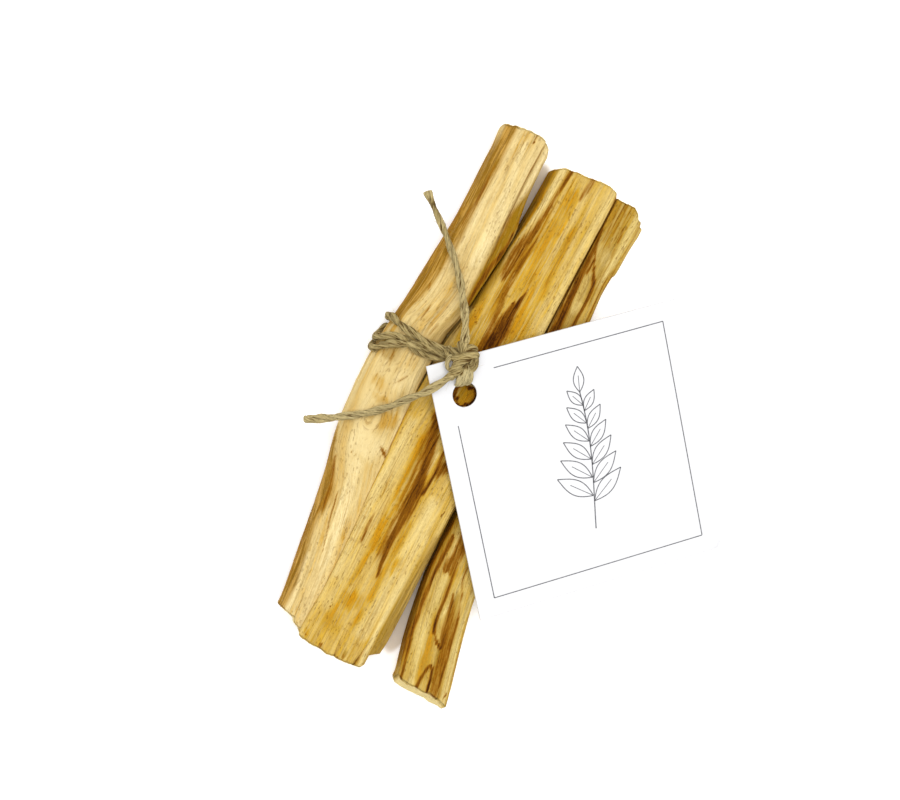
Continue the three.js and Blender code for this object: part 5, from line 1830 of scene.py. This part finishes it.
@dataclass
class Tie:
    """The twine: three turns round the sticks, the knot, the pair through the card's hole and two tails."""

    card: Card
    finish: Material
    tail_length: float = 30.0
    tail_tuck: float = 1.4

    def turn_route(self, number: int) -> Array:
        """Whole route of one turn: out over the left stick, round the bundle and back."""
        common = [(x, TURN_WAYS[number], z) for x, z in TURN_ROUND]
        return np.array([*TURNS_OUT[number], *common, TURN_END])

    def _knot_place(self, rows: list[Place]) -> Array:
        """Points of the knot in the bundle.

        Args:
            rows: The points as (across, down, out) from the knot's middle.

        Returns:
            The points as x, y, z from the point under the tie.
        """
        card = self.card
        hole = np.array(card.top_left) + card.right * card.hole_from_left + card.down * card.hole_from_top
        down = hole - KNOT_MIDDLE
        down = down - card.out * (down @ card.out)
        down = down / np.linalg.norm(down)
        across = np.cross(card.out, down)
        a, d, o = np.array(rows).T
        return (
            KNOT_MIDDLE
            + np.multiply.outer(a, across)
            + np.multiply.outer(d, down)
            + np.multiply.outer(o, card.out)
        )

    def routes(self) -> list[Array]:
        """Routes of the strands with loose fibres: tails, turns and the knot's outer ones."""
        turns = [self.turn_route(k) for k in range(len(TURN_WAYS))]
        knot = [self._knot_place(rows) for _, rows in KNOT_STRANDS[COVERED_STRANDS:]]
        return [np.array(TAIL_UP), np.array(TAIL_SIDE)] + turns + knot

    def build_turns(self) -> Piece:
        """Makes the three turns as one piece."""
        turns = [
            Strand(self.turn_route(k), 1.5, phase=1.3 * k, seed=3 + k, pitch=10.0 + 1.2 * k).surface()
            for k in range(len(TURN_WAYS))
        ]
        return Surface.joined(turns).to_piece("twine_turns", self.finish, "twine", "twine")

    def build_knot(self) -> Piece:
        """Makes the knot and the pair of strands through the hole as one piece."""
        parts = []
        for k, (size, rows) in enumerate(KNOT_STRANDS):
            level = 0.3 if k == LEFT_LOOP else -0.04
            look = {"phase": 0.9 * k, "seed": 20 + k, "tint": ((0.0, level), (1.0, level))}
            parts.append(Strand(self._knot_place(rows), size, pitch=8.5, **look).surface())
        girth = ((0.0, 0.95), (0.4, 1.12), (1.0, 1.0))
        for k, (shaded, rows) in enumerate(HOLE_STRANDS):
            # Painted shadow of the knot's band over the first share, then painted light that fades out towards
            # the far end.
            tint = ((0.0, -0.75), (shaded, -0.75), (shaded + 0.07, 0.5), (0.5, 0.5), (1.0, 0.0))
            look = {"phase": 1.9 * k, "seed": 40 + k, "tint": tint, "girth": girth, "flatness": 0.62}
            parts.append(Strand(self._knot_place(rows), 1.6, pitch=16.0, **look).surface())
        return Surface.joined(parts).to_piece("twine_knot", self.finish, "twine", "twine")

    def build_tail(
        self, name: str, node: str, rows: list[Place], seed: int, girth: Curve, **shape: Any
    ) -> Piece:
        """Makes a free end of the twine, a cord that starts inside the knot.

        Args:
            name: Name of the piece.
            node: The CAD node that it stands for.
            rows: Its route from the knot outwards.
            seed: Chooses its lumps and ridges.
            girth: Its thickness along it, as (share of its length, factor).
            **shape: Further fields of its strand.

        Returns:
            The piece.
        """
        start = np.array(rows[0]) - np.array(rows[1])
        start = np.array(rows[0]) + start / np.linalg.norm(start) * self.tail_tuck
        route = np.vstack([start, rows])
        strand = Strand(route, girth=girth, phase=0.7 * seed, seed=60 + seed, pitch=11.5, **shape)
        made = strand.surface().to_piece(name, self.finish, "twine", node)
        line = (centripetal_route(route, 0.5) + TIE_PLACE) * MM
        self.tail_length * MM
        return made


@dataclass
class Fuzz:
    """Loose fibres that stand off the twine, each a thin bent hair with three sides.

    They stay between the table and the ceiling, a height just over the knot.
    """

    finish: Material
    hairs: int = 620
    radius: float = 0.024
    length: tuple[float, float] = (0.7, 2.9)
    joints: int = 6
    bend: float = 0.32
    floor: float = 0.05
    ceiling: float = 19.8
    seed: int = 77

    def surface(self, routes: list[Array]) -> Surface:
        """Hairs rooted on strands.

        A hair starts on the strand's surface and goes p(t) = foot + L (t a + t^2 b), where a lies along the
        strand with a part outwards and b is a random bend. The hairs over the knot bend down at the ceiling.

        Args:
            routes: Routes of the strands, from the point under the tie.

        Returns:
            All hairs as one surface.
        """
        rng = np.random.default_rng(self.seed)
        lines = [centripetal_route(route, 0.4) for route in routes]
        feet = np.vstack([line[1:-1] for line in lines])
        tangents = np.vstack([route_frames(line)[0][1:-1] for line in lines])
        pick = rng.integers(0, len(feet), self.hairs)
        foot, tangent = feet[pick], tangents[pick]
        outward = rng.normal(size=(self.hairs, 3))
        outward -= tangent * np.sum(outward * tangent, axis=1, keepdims=True)
        outward /= np.linalg.norm(outward, axis=1, keepdims=True)
        foot = foot + outward * (TWINE_DIAMETER / 2 * 0.82)
        way = np.where(rng.random(self.hairs) < 0.5, -1.0, 1.0)[:, None]
        lean = rng.uniform(0.12, 0.75, (self.hairs, 1))
        first = tangent * way + outward * lean
        first /= np.linalg.norm(first, axis=1, keepdims=True)
        bend = rng.normal(size=(self.hairs, 3)) * self.bend
        size = rng.uniform(*self.length, (self.hairs, 1)) * rng.uniform(0.5, 1.0, (self.hairs, 1))
        t = np.linspace(0.0, 1.0, self.joints)[None, :, None]
        line = foot[:, None] + size[:, None] * (t * first[:, None] + t * t * bend[:, None])
        line[..., 2] = np.minimum(line[..., 2], self.ceiling)
        side = np.cross(first, outward)
        side /= np.linalg.norm(side, axis=1, keepdims=True)
        up = np.cross(side, first)
        angle = np.arange(3) / 3 * 2 * np.pi
        round_ = (
            side[:, None, None] * np.cos(angle)[None, None, :, None]
            + up[:, None, None] * np.sin(angle)[None, None, :, None]
        )
        thin = self.radius * (1.0 - 0.6 * t)[..., None]
        rings = line[:, :, None] + round_ * thin
        parts = []
        for k, ring in enumerate(rings):
            strand = np.broadcast_to(np.array([k * 3.1, k * 1.7, 0.0]), ring.shape).copy()
            parts.append(Surface.of_rings(ring, {"groove": np.zeros(ring.shape[:2]), "strand": strand}))
        made = Surface.joined(parts)
        made.points[:, 2] = np.maximum(made.points[:, 2], self.floor)
        return made

    def build(self, routes: list[Array]) -> Piece:
        """Makes the fibres as one piece."""
        return self.surface(routes).to_piece("twine_fibres", self.finish, "twine")


# Studio


@dataclass(frozen=True)
class Studio:
    """White table, soft overhead light, even surroundings and the fitted camera.

    The camera's place is in millimetres. The lamp's place and side and the table's sizes are in metres.
    """

    camera_place: Place = (-80.3068, 3.2162, 458.144)
    camera_right: Place = (0.8780901, 0.4649248, 0.113149)
    camera_up: Place = (-0.4603484, 0.8853347, -0.0652825)
    focal: float = 95.976
    sensor: float = 36.0
    sky: float = 0.74
    lamp_power: float = 14.0
    lamp_side: float = 1.0
    lamp_place: Place = (-0.12, 0.18, 1.3)
    table_half: float = 3.0
    table_drop: float = 0.00004

    def add_camera(self) -> None:
        """Places the camera from its right and up directions."""
        data = bpy.data.cameras.new("view")
        data.sensor_width = self.sensor
        data.lens = self.focal
        data.clip_start, data.clip_end = 0.01, 20.0
        made = bpy.data.objects.new("view", data)
        right, up = Vector(self.camera_right).normalized(), Vector(self.camera_up)
        back = right.cross(up).normalized()
        up = back.cross(right)
        turn = Matrix((right, up, back)).transposed().to_4x4()
        made.matrix_world = Matrix.Translation(Vector(self.camera_place) * MM) @ turn
        bpy.context.scene.collection.objects.link(made)
        bpy.context.scene.camera = made

    def add_table(self) -> None:
        """Lays a wide white table just under the bundle."""
        h, z = self.table_half, -self.table_drop
        mesh = bpy.data.meshes.new("table")
        mesh.from_pydata([(-h, -h, z), (h, -h, z), (h, h, z), (-h, h, z)], [], [(0, 1, 2, 3)])
        mesh.materials.append(FloorFinish().material())
        made = bpy.data.objects.new("table", mesh)
        bpy.context.scene.collection.objects.link(made)

    def add_light(self) -> None:
        """Lights the scene with an even white sky and one wide lamp overhead."""
        world = bpy.data.worlds.new("studio")
        bpy.context.scene.world = world
        world.use_nodes = True
        sky = world.node_tree.nodes["Background"]
        sky.inputs["Color"].default_value = (1.0, 1.0, 1.0, 1.0)
        sky.inputs["Strength"].default_value = self.sky
        lamp = bpy.data.lights.new("softbox", "AREA")
        lamp.shape = "SQUARE"
        lamp.size = self.lamp_side
        lamp.energy = self.lamp_power
        made = bpy.data.objects.new("softbox", lamp)
        place = Vector(self.lamp_place)
        turn = place.to_track_quat("Z", "Y").to_matrix().to_4x4()
        made.matrix_world = Matrix.Translation(place) @ turn
        bpy.context.scene.collection.objects.link(made)

    def build(self) -> None:
        """Adds all of it and shows colours as they are."""
        self.add_camera()
        self.add_table()
        self.add_light()
        bpy.context.scene.view_settings.view_transform = "Standard"
        bpy.context.scene.view_settings.look = "None"


def main() -> None:
    """Builds the scene in order: frame, studio, cords, the rest of the tie, card and sticks."""
    logging.basicConfig(level=logging.INFO, format="%(message)s")
    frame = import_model()
    LOG.info("frame: %d nodes", len(frame["nodes"]))
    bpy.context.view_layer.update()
    Studio().build()
    card = Card()
    finish = TwineFinish().material()
    tie = Tie(card, finish)
    made = [
        tie.build_tail(
            "tail_up_strand", "twine_tail_up", TAIL_UP, 1, UP_GIRTH, tint=UP_TINT, opening=0.3, flare=0.3
        ),
        tie.build_tail(
            "tail_side_strand", "twine_tail_side", TAIL_SIDE, 2, SIDE_GIRTH, tint=SIDE_TINT, flare=0.2
        ),
        tie.build_turns(),
        tie.build_knot(),
        Fuzz(finish).build(tie.routes()),
        card.build(),
        Print(card).build(),
    ]
    made += [stick().build() for stick in (left_stick, middle_stick, right_stick)]
    for piece in made:
        faces = sum(len(p.vertices) - 2 for p in piece.data.polygons)
        LOG.info("%s: %d triangles", piece.name, faces)


if __name__ == "__main__":
    main()
